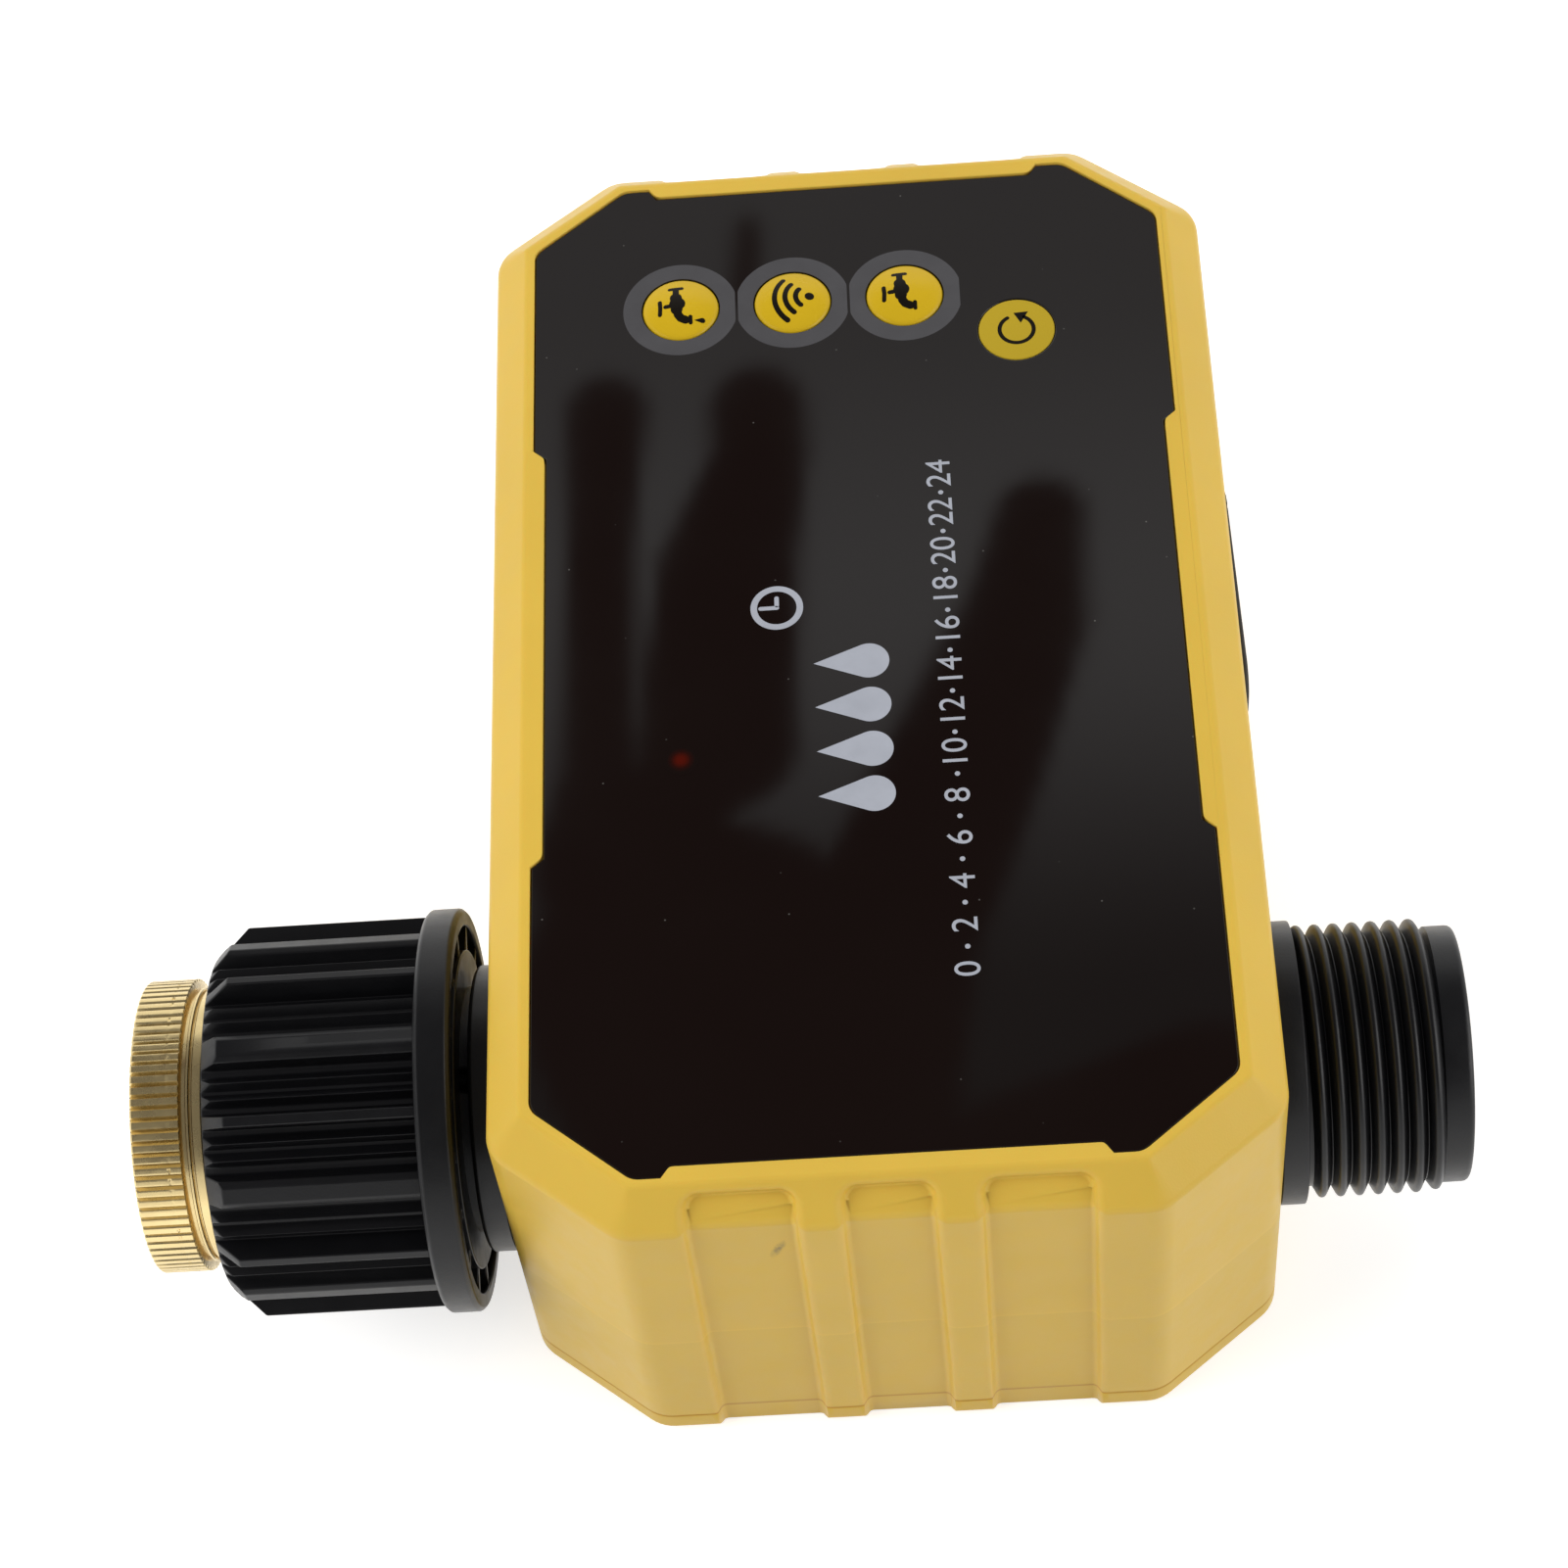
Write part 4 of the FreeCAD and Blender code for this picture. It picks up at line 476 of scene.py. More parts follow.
# Knurl: rows of (x, radius, share of the groove's depth), one tooth's groove
# depths round the rim, and the place along X where the teeth have small nicks,
# with its half width and their greatest depth
KNURL_R = 14.3
KNURL = [(-71.87, KNURL_R - 0.12, 0.9), (-71.7, KNURL_R, 1.0), (-70.5, KNURL_R, 1.0),
         (-69.2, KNURL_R, 1.0), (-68.62, KNURL_R, 1.0), (-68.5, KNURL_R, 1.0),
         (-68.38, KNURL_R, 1.0), (-68.26, KNURL_R, 1.0), (-67.9, KNURL_R, 1.0),
         (-67.4, KNURL_R, 1.0), (-67.25, KNURL_R, 0.9)]
TEETH = 80
TOOTH = [0.0, 0.0, 0.0, 0.0, 0.03, 0.20, 0.36, 0.20, 0.03, 0.0]
NICK_X = -68.44
NICK_HALF = 0.1
NICK_DEEP = 0.10

# Threads: radii, start and end in degrees, place along X at 0 degrees, and
# steps for each turn. The socket's ridge is turned inwards.
MALE_CREST = 13.19
MALE_TURNS = (200, 2300)
MALE_X = -65.9
SOCKET_R = 10.54
SOCKET_RIDGE = 1.1
SOCKET_TURNS = (30, 1890)
SOCKET_X = -70.9
BRASS_STEPS = 96


def tooth_nick(tooth):
    """Uneven depth of a tooth's nick, the same each run."""
    burr = math.sin(12.9898 * tooth) * 43758.5453 % 1.0
    return NICK_DEEP * burr * burr


def brass_radius(place, x, radius, step):
    """Radius of a point of the adapter's section with the knurl cut in."""
    row = place - len(BRASS_INNER)
    if not 0 <= row < len(KNURL):
        return radius
    groove = TOOTH[step % len(TOOTH)]
    on_nick = abs(x - NICK_X) < NICK_HALF and groove == 0.0
    nick = tooth_nick(step // len(TOOTH)) if on_nick else 0.0
    return radius - groove * KNURL[row][2] - nick


def brass():
    profile = BRASS_INNER + [(x, radius) for x, radius, _ in KNURL] + BRASS_REAR
    body = lathe(profile, TEETH * len(TOOTH), brass_radius)
    male = helix(ridge(CUT_RIDGE, MALE_CREST, ROOT_R), *MALE_TURNS,
                 lambda turn: MALE_X + PITCH * turn / 360, BRASS_STEPS)
    socket = helix(ridge(CUT_RIDGE, SOCKET_R - SOCKET_RIDGE, SOCKET_R), *SOCKET_TURNS,
                   lambda turn: SOCKET_X + PITCH * turn / 360, BRASS_STEPS)
    verts, faces = joined(body, male, socket)
    finish_mesh("brass_reducer", verts, faces, "adapter", MATS["brass"],
                sharp=28, drop=["brass_adapter"])


# Flat printed marks, laid on a surface as very thin closed plates

# A plate reaches from PRINT_DEEP under the surface to PRINT_LIFT over it
PRINT_LIFT = 0.012
PRINT_DEEP = 0.03

# Strokes: rows of faces across, steps along a millimetre and round an end, and
# the least share of the width at an end's tip
STROKE_ROWS = 3
STROKE_PER_MM = 4.0
CAP_STEPS = 5
CAP_TIP = 0.02


def on_circle(cx, cy, radius, turn):
    """Point at a turn in degrees."""
    return (cx + radius * math.cos(math.radians(turn)), cy + radius * math.sin(math.radians(turn)))


def sector(cx, cy, inner, outer, start, end, steps, rows):
    """Ring sector; outer may be a function of the turn in degrees. A full turn
    closes on itself, and an inner radius of 0 makes a disc."""
    columns = steps if end - start >= 360 else steps + 1
    verts = [(cx, cy)] if inner == 0 else []
    first = len(verts)
    tiers = range(1 if inner == 0 else 0, rows + 1)
    for step in range(columns):
        turn = start + (end - start) * step / steps
        far = outer(turn) if callable(outer) else outer
        verts.extend(on_circle(cx, cy, inner + (far - inner) * row / rows, turn) for row in tiers)
    width = len(tiers)
    faces = []
    for step in range(steps):
        here = first + step * width
        there = first + (step + 1) % columns * width
        for row in range(width - 1):
            faces.append((here + row, here + row + 1, there + row + 1, there + row))
        if inner == 0:
            faces.append((0, here, there))
    return verts, faces


def stroke(points, width):
    """Round-ended band of constant width along a run of points."""
    line = [Vector(points[0])]
    for a, b in zip(points, points[1:]):
        a, b = Vector(a), Vector(b)
        count = max(1, int((b - a).length * STROKE_PER_MM))
        line.extend(a.lerp(b, (i + 1) / count) for i in range(count))
    head = (line[1] - line[0]).normalized()
    tail = (line[-1] - line[-2]).normalized()
    half = width / 2
    caps = [math.radians(90.0 * i / CAP_STEPS) for i in range(1, CAP_STEPS + 1)]
    track = []
    for turn in reversed(caps):
        point = line[0] - head * half * math.sin(turn)
        track.append((point, max(CAP_TIP, math.cos(turn)), head))
    for i, point in enumerate(line):
        ahead = line[min(i + 1, len(line) - 1)]
        behind = line[max(i - 1, 0)]
        track.append((point, 1.0, (ahead - behind).normalized()))
    for turn in caps:
        point = line[-1] + tail * half * math.sin(turn)
        track.append((point, max(CAP_TIP, math.cos(turn)), tail))
    verts, faces = [], []
    for point, share, ahead in track:
        side = Vector((-ahead.y, ahead.x))
        for row in range(STROKE_ROWS + 1):
            offset = half * share * (1 - 2 * row / STROKE_ROWS)
            verts.append(tuple(point + side * offset))
    size = STROKE_ROWS + 1
    for step in range(len(track) - 1):
        for row in range(STROKE_ROWS):
            a = step * size + row
            faces.append((a + 1, a, a + size, a + size + 1))
    return verts, faces


def arc_points(cx, cy, radius, start, end, steps):
    return [on_circle(cx, cy, radius, start + (end - start) * i / steps)
            for i in range(steps + 1)]


def drop_shape(cx, cy, radius, long):
    """Water drop: a disc with two straight flanks that meet in a point towards
    -X, at the length long from its middle."""
    half = math.degrees(math.acos(radius / long))

    def outer(turn):
        off = abs(turn % 360 - 180)
        return radius / math.cos(math.radians(half - off)) if off < half else radius
    return sector(cx, cy, 0, outer, 180, 540, 72, 3)


def plate(name, shapes, height, body, mat):
    """Thin closed plates whose upper side follows the surface height."""
    verts, faces = [], []
    for flat_verts, flat_faces in shapes:
        base = len(verts)
        count = len(flat_verts)
        for lift in (PRINT_LIFT, -PRINT_DEEP):
            verts.extend((x, y, height(x, y) + lift) for x, y in flat_verts)
        for face in flat_faces:
            faces.append(tuple(base + i for i in face))
            faces.append(tuple(base + count + i for i in reversed(face)))
        edges = dict.fromkeys(
            edge for face in flat_faces for edge in zip(face, face[1:] + face[:1]))
        for a, b in edges:
            if (b, a) not in edges:
                faces.append((base + b, base + a, base + count + a, base + count + b))
    finish_mesh(name, verts, faces, body, mat, sharp=40)


def flat(x, y):
    return PANEL_TOP


def dome(cx, cy):
    """Height of a domed key round its middle."""
    high = KEY_TOP - KEY_SINK
    rise = high - KEY_EDGE
    ball = (KEY_R ** 2 + rise ** 2) / (2 * rise)

    def height(x, y):
        away = min(KEY_R ** 2, (x - cx) ** 2 + (y - cy) ** 2)
        return high - ball + math.sqrt(ball ** 2 - away)
    return height


# Tap picture: scale along X and Y, and shift along Y
TAP_WIDE = 1.03
TAP_HIGH = 1.12
TAP_SHIFT = 0.45


def tap_shapes(cx, cy, drop):
    """Tap seen from the side: bar and stem, body, wall flange, spout and drop."""
    def at(*points):
        return [(cx + TAP_WIDE * x, cy + TAP_HIGH * y - TAP_SHIFT) for x, y in points]
    body = at((-0.28, 0.5))[0]
    shapes = [
        stroke(at((-1.02, 2.42), (0.16, 2.46)), 0.44),
        stroke(at((-0.42, 2.2), (-0.42, 1.3)), 0.66),
        stroke(at((-0.42, 1.25), (-0.28, 0.55), (-0.35, -0.15)), 1.24),
        sector(*body, 0, 0.84, 0, 360, 32, 3),
        stroke(at((-1.45, 0.28), (-0.7, 0.3)), 0.50),
        stroke(at((-2.05, 0.92), (-2.0, 0.28), (-2.05, -0.52)), 0.44),
        stroke(at((-0.30, -0.2), (-0.22, -0.72), (0.06, -1.12), (0.52, -1.30)), 0.90),
        stroke(at((1.02, -0.98), (1.02, -1.60)), 0.40),
    ]
    if drop:
        tip = at((2.2, -1.34))[0]
        shapes.append(drop_shape(*tip, 0.28, 0.85))
    return shapes


# Rings round the keys: inner and outer radius, half the gap between two of
# them, and the straight cut on the last one
RING_IN = 4.08
RING_OUT = 5.97
RING_GAP = 0.14
RING_CUT = 5.70

# Panel marks: the clock's hands are given from its middle
LED_WINDOW_R = 1.75
CLOCK = (-8.3, 3.6)
CLOCK_RING = (1.95, 2.6)
CLOCK_LINE = 0.45
HOUR_HAND = 1.6
MINUTE_HAND = (0.3, 1.15)
DROPS_X = 0.5
DROPS_Y = (-18.6, -13.5, -8.4, -3.3)
DROP_R = 2.0
DROP_LONG = 5.4
SCALE_X = 8.45
SCALE_LOW = -38.4
SCALE_LONG = 57.2
SCALE_STEPS = 12
SCALE_DOT = 0.26
NUMERAL_HIGH = 3.5
NUMERAL_HALF = 0.02
NUMERAL_SINK = 0.006

# Key marks: radio arcs round a dot, and the reset key's turned arrow, whose
# arc runs from 120 degrees round to its head at 60
WAVE_DOT = (1.8, 0.08)
WAVE_DOT_R = 0.48
WAVES = (1.42, 2.52, 3.62)
WAVE_TURNS = (138, 230)
WAVE_LINE = 0.54
ARROW_R = 1.75
ARROW_TURNS = (120, 420)
ARROW_LINE = 0.42
ARROW_HEAD = 60
HEAD_HALF = 0.82
HEAD_LONG = 1.25


def ring_edge(cx, low, high):
    """Outer edge of a key's ring, cut straight beside its neighbours."""
    def outer(turn):
        c = math.cos(math.radians(turn))
        reach = RING_OUT
        if c > 0 and high is not None:
            reach = min(reach, (high - cx) / c)
        if c < 0 and low is not None:
            reach = min(reach, (low - cx) / c)
        return reach
    return outer


def numeral(word, x, y):
    """Scale number as a thin plate: it reads along +Y and stands towards -X."""
    curve = bpy.data.curves.new("scale_" + word, "FONT")
    curve.body = word
    curve.size = NUMERAL_HIGH * MM
    curve.align_x = "CENTER"
    curve.align_y = "CENTER"
    curve.extrude = NUMERAL_HALF * MM
    text = placed("scale_text", curve)
    bpy.context.view_layer.update()
    graph = bpy.context.evaluated_depsgraph_get()
    mesh = bpy.data.meshes.new_from_object(text.evaluated_get(graph))
    bpy.data.objects.remove(text)
    mesh.materials.clear()
    mesh.materials.append(INK_LIGHT)
    place = Matrix.Translation((x * MM, y * MM, (PANEL_TOP - NUMERAL_SINK) * MM))
    mesh.transform(place @ Matrix.Rotation(math.radians(90), 4, "Z"))
    obj = placed("scale_" + word, mesh)
    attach(obj, "case")


def panel_print():
    middle_one = (KEY_X["open"] + KEY_X["wireless"]) / 2
    middle_two = (KEY_X["wireless"] + KEY_X["close"]) / 2
    bounds = {
        "open": (None, middle_one - RING_GAP),
        "wireless": (middle_one + RING_GAP, middle_two - RING_GAP),
        "close": (middle_two + RING_GAP, KEY_X["close"] + RING_CUT),
    }
    for label, cx in KEY_X.items():
        ring = sector(cx, KEY_Y, RING_IN, ring_edge(cx, *bounds[label]), 0, 360, 144, 2)
        plate("ring_" + label, [ring], flat, "case", INK_RING)

    window = [sector(LED_X, LED_Y, 0, LED_WINDOW_R, 0, 360, 48, 3)]
    plate("led_window", window, flat, "case", MATS["led"])

    # generic marks: a clock, a row of drops and a plain number scale
    cx, cy = CLOCK
    clock = [
        sector(cx, cy, *CLOCK_RING, 0, 360, 72, 2),
        stroke([(cx, cy), (cx - HOUR_HAND, cy)], CLOCK_LINE),
        stroke([(cx, cy + reach) for reach in MINUTE_HAND], CLOCK_LINE),
    ]
    plate("mark_clock", clock, flat, "case", INK_LIGHT)
    drops = [drop_shape(DROPS_X, y, DROP_R, DROP_LONG) for y in DROPS_Y]
    plate("mark_drops", drops, flat, "case", INK_LIGHT)
    step = SCALE_LONG / SCALE_STEPS
    dots = [sector(SCALE_X, SCALE_LOW + (i + 0.5) * step, 0, SCALE_DOT, 0, 360, 20, 1)
            for i in range(SCALE_STEPS)]
    plate("mark_dots", dots, flat, "case", INK_LIGHT)
    for i in range(SCALE_STEPS + 1):
        numeral(str(2 * i), SCALE_X, SCALE_LOW + i * step)


def key_prints():
    for label, drop in (("open", True), ("close", False)):
        cx = KEY_X[label]
        plate("icon_" + label, tap_shapes(cx, KEY_Y, drop), dome(cx, KEY_Y), "button_" + label,
              INK_DARK)
    cx = KEY_X["wireless"]
    dot = (cx + WAVE_DOT[0], KEY_Y + WAVE_DOT[1])
    shapes = [sector(*dot, 0, WAVE_DOT_R, 0, 360, 32, 2)]
    for radius in WAVES:
        shapes.append(stroke(arc_points(*dot, radius, *WAVE_TURNS, 20), WAVE_LINE))
    plate("icon_wireless", shapes, dome(cx, KEY_Y), "button_wireless", INK_DARK)

    shapes = [stroke(arc_points(*RESET, ARROW_R, *ARROW_TURNS, 30), ARROW_LINE)]
    end = Vector(on_circle(*RESET, ARROW_R, ARROW_HEAD))
    outward = Vector(on_circle(0, 0, 1, ARROW_HEAD))
    ahead = Vector((-outward.y, outward.x))
    corners = [end + outward * HEAD_HALF, end + ahead * HEAD_LONG, end - outward * HEAD_HALF]
    shapes.append(([tuple(corner) for corner in corners], [(0, 1, 2)]))
    plate("icon_reset", shapes, flat, "button_reset", INK_DARK)


# CAD nodes: their materials, and rounded copies of the ones that show

def dress_nodes():
    slots = {row["node"]: row["material_slot"] for row in frame["record"]["subparts"]}
    for name, obj in frame["nodes"].items():
        obj.data.materials.clear()
        obj.data.materials.append(MATS[slots[name]])
        for face in obj.data.polygons:
            face.material_index = 0


# End walls: |y| of the outer wall and of the scallops' floor, and the heights
# where each bends into its bevel. On the floor's bevel |y| + z is FLOOR_BEVEL.
WALL_Y = 62.6
WALL_BEND_Z = 43.0
FLOOR_Y = 61.6
FLOOR_BEND_Z = 42.59
FLOOR_BEVEL = 104.18

# Scallops: (middle, half width) along X, radius of the upper corners, height
# of those corners' middles on the floor and how much higher they are on the
# outer wall, heights that the corners lie between, and how far the sides' inner
# and outer ends are moved
SCALLOPS = [(-13.55, 5.15), (0.0, 4.25), (13.55, 5.15)]
SCALLOP_ROUND = 1.5
SCALLOP_CORNER_Z = 43.78
SCALLOP_CORNER_RISE = 0.71
SCALLOP_CORNERS = (43.6, 45.9)
SCALLOP_EASE = 0.3

# Past END_Y a point is on an end wall or its bevel, past OUTER_Y or SIDE_X it
# is outside the walls' inner faces, past RIM_Z on the rim's bevel or top, and
# above FOOT_Z it is clear of the seam
END_Y = 59.0
OUTER_Y = 60.9
SIDE_X = 35.3
RIM_Z = 42.5
FOOT_Z = 4.0

# Parts left out of the outer arrises: a circle round the water line from WAY_X
# outwards, and the holes under the panel, as |x| and |y|
WAY_R = 15.0
WAY_X = 30.0
HOLES_X = 25.0
HOLES_Y = 50.0

# Stretch along Y that holds the flap's recess, radius inside which the nut's
# edges stay sharp, least height of an upright edge, height over the panel from
# which a key's dome is lowered, and depth under it down to which edges round
FLAP_Y = 8.0
FLAP_HALF = 20.0
NUT_INNER_R = 13.0
UPRIGHT = 0.8
DOME_FROM = 0.03
PANEL_EDGE = 0.1

# Normals: the least share along an axis of a face that lies square to it, the
# z of a bevelled face, and the z below which a face is upright
SQUARE = 0.99
BEVELLED = (0.4, 0.9)
STEEP = 0.2

# Tolerances: of a place, of a scallop's straight side, of its corner's curve,
# and of the floor's bevel
NEAR = 0.05
NEAR_SIDE = 0.02
NEAR_CURVE = 0.06
NEAR_BEVEL = 0.08

# Welding before and after the rounding, the fold in degrees below which faces
# join, steps of a rounded edge, and the angle from which edges stay sharp
WELD_BEFORE = 0.003
WELD_AFTER = 0.002
FLAT_FOLD = 0.3
ROUND_STEPS = 3
SHARP_FOLD = 35


def scallop_depth(p):
    """0 on the scallops' floor and 1 on the outer wall or its bevel."""
    past = max(abs(p.y) - FLOOR_Y, (abs(p.y) + p.z - FLOOR_BEVEL) / math.sqrt(2))
    return min(1.0, max(0.0, past))


def split_at_bend(bm):
    """Splits the scallops' side faces where the wall bends into its bevel."""
    bends = [(WALL_Y, WALL_BEND_Z), (FLOOR_Y, FLOOR_BEND_Z)]
    for face in list(bm.faces):
        if abs(face.normal.x) < SQUARE:
            continue
        bend = []
        for vert in face.verts:
            y, z = abs(vert.co.y) / MM, vert.co.z / MM
            if min(math.hypot(y - at_y, z - at_z) for at_y, at_z in bends) < NEAR:
                bend.append(vert)
        if len(bend) == 2:
            bmesh.utils.face_split(face, *bend)


def ease_scallops(bm):
    """Slopes the scallops' sides: outer ends move out, inner ends in."""
    split_at_bend(bm)
    for vert in bm.verts:
        p = vert.co / MM
        on_bevel = abs(p.y) + p.z >= FLOOR_BEVEL - NEAR_BEVEL
        if abs(p.y) < END_Y or (abs(p.y) < FLOOR_Y - NEAR and not on_bevel):
            continue
        middle, half = min(SCALLOPS, key=lambda row: abs(abs(p.x - row[0]) - row[1]))
        side = math.copysign(1.0, p.x - middle)
        across = abs(p.x - middle) - (half - SCALLOP_ROUND)
        depth = scallop_depth(p)
        above = (p.z - SCALLOP_CORNER_Z - SCALLOP_CORNER_RISE * depth) * math.sqrt(2)
        if above <= NEAR_SIDE:
            # below the corner: only the straight side moves
            if abs(across - SCALLOP_ROUND) > NEAR_SIDE:
                continue
            across, above = 1.0, 0.0
        elif across < -NEAR or abs(math.hypot(across, above) - SCALLOP_ROUND) > NEAR_CURVE:
            continue
        long = math.hypot(across, above)
        move = SCALLOP_EASE * (2 * depth - 1)
        up = above / long * move / math.sqrt(2)
        vert.co += Vector((side * across / long * move, -math.copysign(up, p.y), up)) * MM


def rounded(name, piece, body, slot, rules, mat=None, change=None, least=20):
    """Welded copy of a CAD node with its moulded edges rounded. Each rule is a
    width in millimetres, below zero for hollow edges, and a test on an edge's
    ends and its two face normals, the lower first. The first rule that fits
    counts. Edges that fold by less than the angle least stay."""
    mesh = bpy.data.meshes.new(piece)
    bm = bmesh.new()
    bm.from_mesh(frame["nodes"][name].data)
    bmesh.ops.remove_doubles(bm, verts=bm.verts, dist=WELD_BEFORE * MM)
    bmesh.ops.dissolve_limit(bm, angle_limit=math.radians(FLAT_FOLD), verts=bm.verts,
                             edges=bm.edges)
    if change:
        change(bm)
    bm.normal_update()
    widest = max(abs(width) for width, _ in rules)
    weight = bm.edges.layers.float.new("bevel_weight_edge")
    for edge in bm.edges:
        fold = math.degrees(edge.calc_face_angle_signed(0.0))
        if len(edge.link_faces) != 2 or abs(fold) < least:
            continue
        ends = [vert.co / MM for vert in edge.verts]
        sides = sorted((face.normal for face in edge.link_faces), key=lambda n: n.z)
        for width, wanted in rules:
            if (width > 0) == (fold > 0) and wanted(ends, sides):
                edge[weight] = abs(width) / widest
                break
    bm.to_mesh(mesh)
    bm.free()
    mesh.materials.append(mat or MATS[slot])
    mesh.shade_smooth()
    obj = placed(piece, mesh)
    bevel = obj.modifiers.new("round", "BEVEL")
    bevel.width = widest * MM
    bevel.segments = ROUND_STEPS
    bevel.limit_method = "WEIGHT"
    bevel.use_clamp_overlap = False
    weld = obj.modifiers.new("weld", "WELD")
    weld.merge_threshold = WELD_AFTER * MM
    even = obj.modifiers.new("even", "WEIGHTED_NORMAL")
    even.keep_sharp = True
    obj.data.set_sharp_from_angle(angle=math.radians(SHARP_FOLD))
    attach(obj, body)
    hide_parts(name)


def both(ends, test):
    return test(ends[0]) and test(ends[1])


def on_top(ends, sides):
    return both(ends, lambda p: p.z > CASE_TOP - NEAR) and sides[1].z > SQUARE


def rim_arris(ends, sides):
    """Edge between the case's top and its outer bevel."""
    return on_top(ends, sides) and BEVELLED[0] < sides[0].z < BEVELLED[1]


def recess_edge(ends, sides):
    """Edge between the case's top and the wall of the panel's recess."""
    return on_top(ends, sides) and sides[0].z < STEEP


def water_distance(p):
    return math.hypot(p.y - WATER_Y, p.z - WATER_Z)


def outer_edge(ends, sides):
    """Arrises of the outer walls, away from the water way, the seam and the
    holes under the panel."""
    def outside(p):
        near_water = water_distance(p) < WAY_R and abs(p.x) > WAY_X
        under_panel = abs(p.x) < HOLES_X and abs(p.y) < HOLES_Y
        on_walls = abs(p.x) > SIDE_X or abs(p.y) > OUTER_Y or p.z > RIM_Z
        return on_walls and not near_water and not under_panel
    return both(ends, outside) and max(p.z for p in ends) > FOOT_Z


def scallop_line(ends, sides):
    """Hollow edges round the scallops' floors, up to their upper corners."""
    def beside(p):
        low, high = SCALLOP_CORNERS
        off = min(abs(abs(p.x - middle) - half) for middle, half in SCALLOPS)
        on_side = off < SCALLOP_EASE + NEAR or p.z > low
        return abs(p.y) > END_Y and p.z < high and on_side
    return both(ends, beside) and max(p.z for p in ends) > FOOT_Z


def flap_recess(ends, sides):
    return both(ends, lambda p: p.x > SIDE_X and abs(p.y - FLAP_Y) < FLAP_HALF)


def cover_arris(ends, sides):
    """Upright edges of the back cover's end walls."""
    return both(ends, lambda p: abs(p.y) > OUTER_Y) and abs(ends[0].z - ends[1].z) > UPRIGHT


def anywhere(ends, sides):
    return True


def nut_outside(ends, sides):
    return both(ends, lambda p: water_distance(p) > NUT_INNER_R)


def above_panel(ends, sides):
    return both(ends, lambda p: p.z > PANEL_TOP - PANEL_EDGE)


def sink_keys(bm):
    """Lowers a key's dome."""
    for vert in bm.verts:
        if vert.co.z > (PANEL_TOP + DOME_FROM) * MM:
            vert.co.z -= KEY_SINK * MM


def round_nodes():
    rounded("front_shell", "shell_yellow", "case", "case",
            [(0.36, rim_arris), (0.1, recess_edge), (0.15, flap_recess), (0.6, outer_edge),
             (-0.38, scallop_line)], change=ease_scallops, least=25)
    rounded("back_cover", "cover_yellow", "case", "case",
            [(0.6, cover_arris), (-0.38, cover_arris)], change=ease_scallops, least=25)
    rounded("front_panel", "panel_sheet", "case", "panel", [(0.12, above_panel)])
    rounded("inlet_nut", "swivel_nut", "nut", "fitting", [(0.14, nut_outside)])
    rounded("inlet_fitting", "inlet_collar", "case", "fitting", [(0.12, anywhere)])
    rounded("port_flap", "flap_cover", "flap", "flap", [(0.3, anywhere)])
    rounded("flap_root", "flap_anchor", "case", "flap", [(0.3, anywhere)])
    for label in KEY_X:
        rounded("key_" + label, "keycap_" + label, "button_" + label, "key",
                [(0.35, above_panel)], change=sink_keys)
    rounded("key_reset", "keycap_reset", "button_reset", "key", [(0.12, above_panel)],
            mat=KEY_FLAT)


# Stage: cards, floor, light and camera

# Soft dark runs that the panel mirrors: (x, y, radius) in millimetres on the
# panel where they show, the width of their soft edge, and their colour
SHADES = [
    [(-25.2, 29.4, 4.2), (-26.0, 12.2, 3.6), (-26.3, -13.3, 3.8), (-25.0, -24.0, 8.0)],
    [(-9.8, 28.7, 5.0), (-9.6, 22.5, 5.0), (-13.2, 8.8, 7.2), (-14.7, -11.9, 8.0)],
    [(17.9, 12.9, 4.6), (15.8, 0.7, 6.4), (8.9, -15.8, 8.0), (1.5, -32.8, 8.6),
     (-1.7, -48.0, 8.8)],
    [(-22.4, -24.7, 10.2), (-16.1, -37.9, 17.4), (-10.9, -52.0, 18.0)],
    [(13.0, -61.0, 9.6), (30.0, -55.0, 9.6)],
    [(-10.4, 52.0, 1.6), (-11.1, 43.5, 1.5)],
]
SHADE_SOFT = 1.6
SHADE_COLOR = (0.085, 0.05, 0.045)

# A panel point (x, y) mirrors the card at MIRROR times it, plus an offset in
# metres. The card's ends are given as panel points.
MIRROR = 3.93
MIRROR_X = -0.026
MIRROR_Y = 0.658
CARD_HIGH = 1.0
CARD_X = (-48.0, 44.0)
CARD_Y = (-95.0, 72.0)
CARD_CELLS = (72, 132)

# The card's light at its brightest, and its falls towards both ends: how much,
# from which y, and over which length
CARD_LIGHT = 0.70
FAR_FALL = (0.22, 5.0, 40.0)
NEAR_FALL = (0.56, 2.0, 44.0)

# Wide card: its corners, how far it is above the fine one, and its light
WIDE_CARD = [(-0.9, -2.6), (0.8, -2.6), (0.8, 1.15), (-0.9, 1.15)]
WIDE_OVER = 0.004
WIDE_COLOR = (0.19, 0.186, 0.19)

# Floor: half its width, height, colour and glow where it is seen, and the
# strength of the surroundings for the rays that light the object
FLOOR_HALF = 3.0
FLOOR_Z = -0.0002
FLOOR_GREY = (0.76, 0.76, 0.76)
FLOOR_GLOW = 0.62
WORLD_LIGHT = 0.34


def shade_at(x, y):
    """How much of the mirrored card at a panel point is dark, 0 to 1."""
    most = 0.0
    for run in SHADES:
        for (ax, ay, ar), (bx, by, br) in zip(run, run[1:]):
            dx, dy = bx - ax, by - ay
            part = ((x - ax) * dx + (y - ay) * dy) / (dx ** 2 + dy ** 2)
            part = min(1.0, max(0.0, part))
            away = math.hypot(x - ax - part * dx, y - ay - part * dy) - ar - part * (br - ar)
            most = max(most, ease(0.5 - away / SHADE_SOFT))
    return most


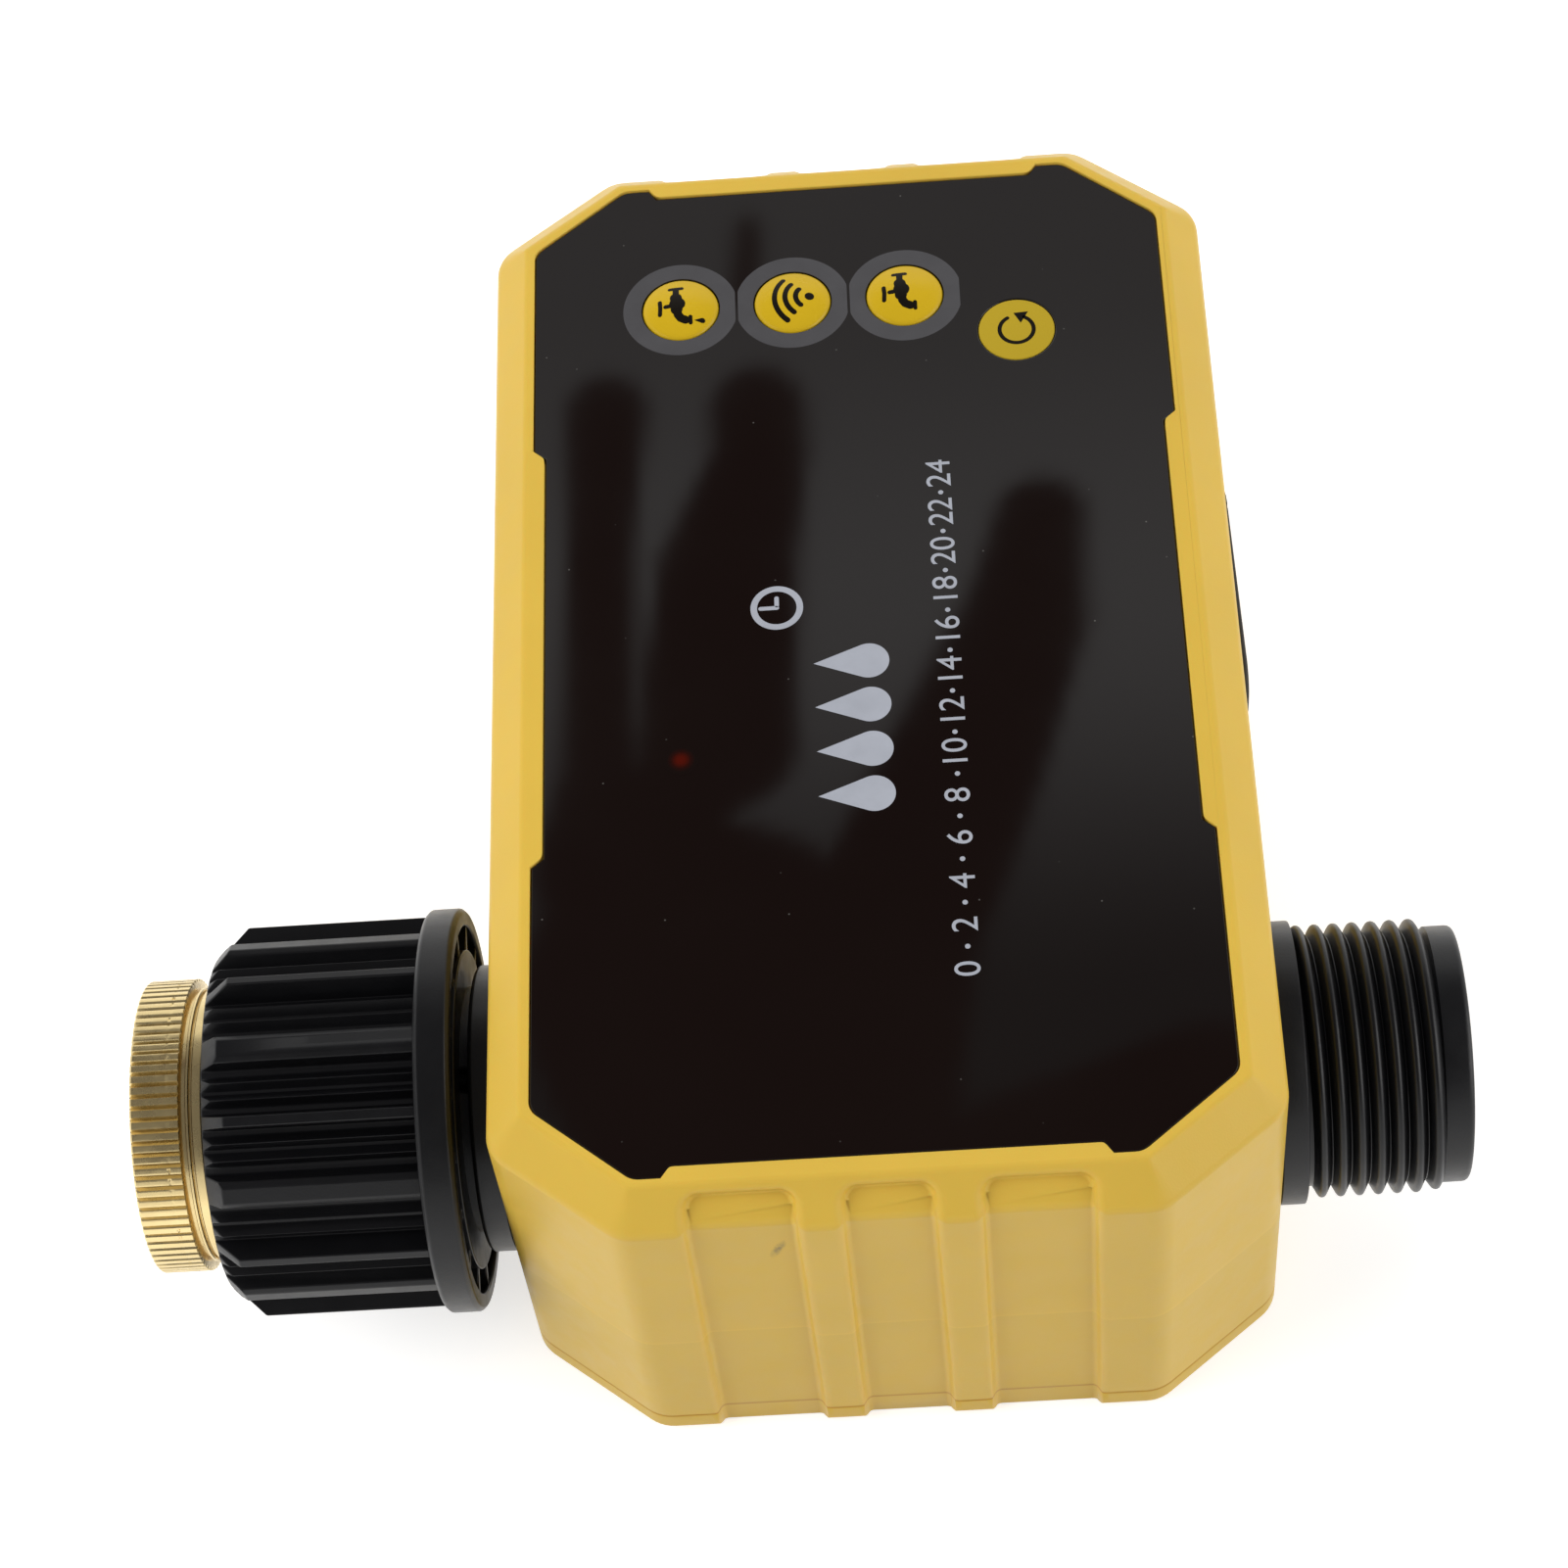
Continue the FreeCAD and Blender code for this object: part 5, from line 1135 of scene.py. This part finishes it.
def emission(name):
    """Material that only gives light."""
    mat = bpy.data.materials.new(name)
    mat.use_nodes = True
    tree = mat.node_tree
    tree.nodes.clear()
    glow = tree.nodes.new("ShaderNodeEmission")
    out = tree.nodes.new("ShaderNodeOutputMaterial")
    link(tree, glow.outputs["Emission"], out.inputs["Surface"])
    return mat, tree, glow


def glossy_only(obj):
    """Shows a card in glossy reflections and nowhere else."""
    obj.visible_camera = False
    obj.visible_diffuse = False
    obj.visible_shadow = False
    obj.visible_transmission = False


def card_light(y):
    """Light of the card at a panel point."""
    far, far_from, far_long = FAR_FALL
    near, near_from, near_long = NEAR_FALL
    return (CARD_LIGHT - far * ease((y - far_from) / far_long)
            - near * ease((near_from - y) / near_long))


def ceiling():
    """Grey card over the scene with soft dark runs."""
    across, along = CARD_CELLS
    verts, colors = [], []
    for j in range(along + 1):
        y = CARD_Y[0] + (CARD_Y[1] - CARD_Y[0]) * j / along
        light = card_light(y)
        for i in range(across + 1):
            x = CARD_X[0] + (CARD_X[1] - CARD_X[0]) * i / across
            verts.append((MIRROR * x * MM + MIRROR_X, MIRROR * y * MM + MIRROR_Y, CARD_HIGH))
            shade = shade_at(x, y)
            colors.append([light * (1 - shade) + dark * shade for dark in SHADE_COLOR])
    size = across + 1
    faces = [(j * size + i, j * size + i + 1, (j + 1) * size + i + 1, (j + 1) * size + i)
             for j in range(along) for i in range(across)]
    mesh = bpy.data.meshes.new("ceiling_card")
    mesh.from_pydata(verts, [], faces)
    layer = mesh.color_attributes.new("glow", "FLOAT_COLOR", "POINT")
    for item, color in zip(layer.data, colors):
        item.color = (*color, 1.0)
    mat, tree, glow = emission("ceiling_card")
    paint = tree.nodes.new("ShaderNodeVertexColor")
    paint.layer_name = "glow"
    link(tree, paint.outputs["Color"], glow.inputs["Color"])
    mesh.materials.append(mat)
    glossy_only(placed("ceiling_card", mesh))


def wide_ceiling():
    """Large dim card just above the fine one."""
    mesh = bpy.data.meshes.new("wide_card")
    mesh.from_pydata([(x, y, CARD_HIGH + WIDE_OVER) for x, y in WIDE_CARD], [], [(0, 1, 2, 3)])
    mat, _, glow = emission("wide_card")
    glow.inputs["Color"].default_value = (*WIDE_COLOR, 1.0)
    mesh.materials.append(mat)
    glossy_only(placed("wide_card", mesh))


def seen_directly(tree):
    """1 for camera, glossy and transmission rays, and 0 for the others."""
    rays = tree.nodes.new("ShaderNodeLightPath")
    most = rays.outputs["Is Camera Ray"]
    for kind in ("Is Glossy Ray", "Is Transmission Ray"):
        item = tree.nodes.new("ShaderNodeMath")
        item.operation = "MAXIMUM"
        link(tree, most, item.inputs[0])
        link(tree, rays.outputs[kind], item.inputs[1])
        most = item.outputs[0]
    return most


def make_floor():
    """White floor: it glows only where it is seen, so that it lights nothing."""
    mesh = bpy.data.meshes.new("floor")
    corners = [(-1, -1), (1, -1), (1, 1), (-1, 1)]
    mesh.from_pydata([(FLOOR_HALF * x, FLOOR_HALF * y, FLOOR_Z) for x, y in corners],
                     [], [(0, 1, 2, 3)])
    mat, tree, bsdf = shader_base("floor", FLOOR_GREY, 0.9, Specular_IOR_Level=0.1)
    glow = tree.nodes.new("ShaderNodeEmission")
    glow.inputs["Color"].default_value = (*WHITE, 1.0)
    share = tree.nodes.new("ShaderNodeMath")
    share.operation = "MULTIPLY"
    share.inputs[1].default_value = FLOOR_GLOW
    link(tree, seen_directly(tree), share.inputs[0])
    link(tree, share.outputs[0], glow.inputs["Strength"])
    total = tree.nodes.new("ShaderNodeAddShader")
    link(tree, bsdf.outputs["BSDF"], total.inputs[0])
    link(tree, glow.outputs["Emission"], total.inputs[1])
    link(tree, total.outputs["Shader"], tree.nodes["Material Output"].inputs["Surface"])
    mesh.materials.append(mat)
    obj = placed("floor", mesh)


def make_world():
    """White surroundings that light the object less than they show."""
    world = bpy.data.worlds.new("studio")
    bpy.context.scene.world = world
    world.use_nodes = True
    tree = world.node_tree
    back = tree.nodes["Background"]
    back.inputs["Color"].default_value = (*WHITE, 1.0)
    level = tree.nodes.new("ShaderNodeMapRange")
    level.inputs["To Min"].default_value = WORLD_LIGHT
    level.inputs["To Max"].default_value = 1.0
    link(tree, seen_directly(tree), level.inputs["Value"])
    link(tree, level.outputs["Result"], back.inputs["Strength"])


def softbox(name, place, aim, size, power, glossy=False):
    """Area light turned to aim; reflections show it only where glossy is set."""
    data = bpy.data.lights.new(name, "AREA")
    data.shape = "RECTANGLE"
    data.size, data.size_y = size
    data.energy = power
    obj = placed(name, data)
    obj.location = place
    obj.rotation_euler = (Vector(aim) - Vector(place)).to_track_quat("-Z", "Y").to_euler()
    obj.visible_glossy = glossy


# Camera, solved from the photo: focal length on a sensor of this width, place,
# and the directions of the view and of the picture's upper side
SENSOR = 36.0
LENS = 92.83
CAMERA_AT = (0.009123, -0.224628, 0.371830)
CAMERA_VIEW = (-0.04468, 0.53731, -0.84220)
CAMERA_UP = (0.06053, 0.84296, 0.53458)


def make_camera():
    data = bpy.data.cameras.new("camera")
    data.sensor_fit = "HORIZONTAL"
    data.sensor_width = SENSOR
    data.lens = LENS
    data.clip_start = 0.01
    obj = placed("camera", data)
    forward = Vector(CAMERA_VIEW).normalized()
    right = forward.cross(Vector(CAMERA_UP)).normalized()
    up = right.cross(forward)
    turn = Matrix((right, up, -forward)).transposed().to_4x4()
    obj.matrix_world = Matrix.Translation(CAMERA_AT) @ turn
    bpy.context.scene.camera = obj


dress_nodes()
round_nodes()
outlet()
brass()
panel_print()
key_prints()

make_floor()
make_world()
softbox("left_box", (-0.5, -0.15, 0.40), (0, -0.02, 0.02), (0.4, 0.4), 2.1)
softbox("right_box", (0.95, -0.27, 0.45), (0, -0.02, 0.02), (1.0, 0.8), 5.1, glossy=True)
softbox("back_box", (0.1, 1.4, 1.0), (0, 0, 0.02), (1.1, 0.8), 9.5)
ceiling()
wide_ceiling()
make_camera()
bpy.context.scene.view_settings.view_transform = "Standard"
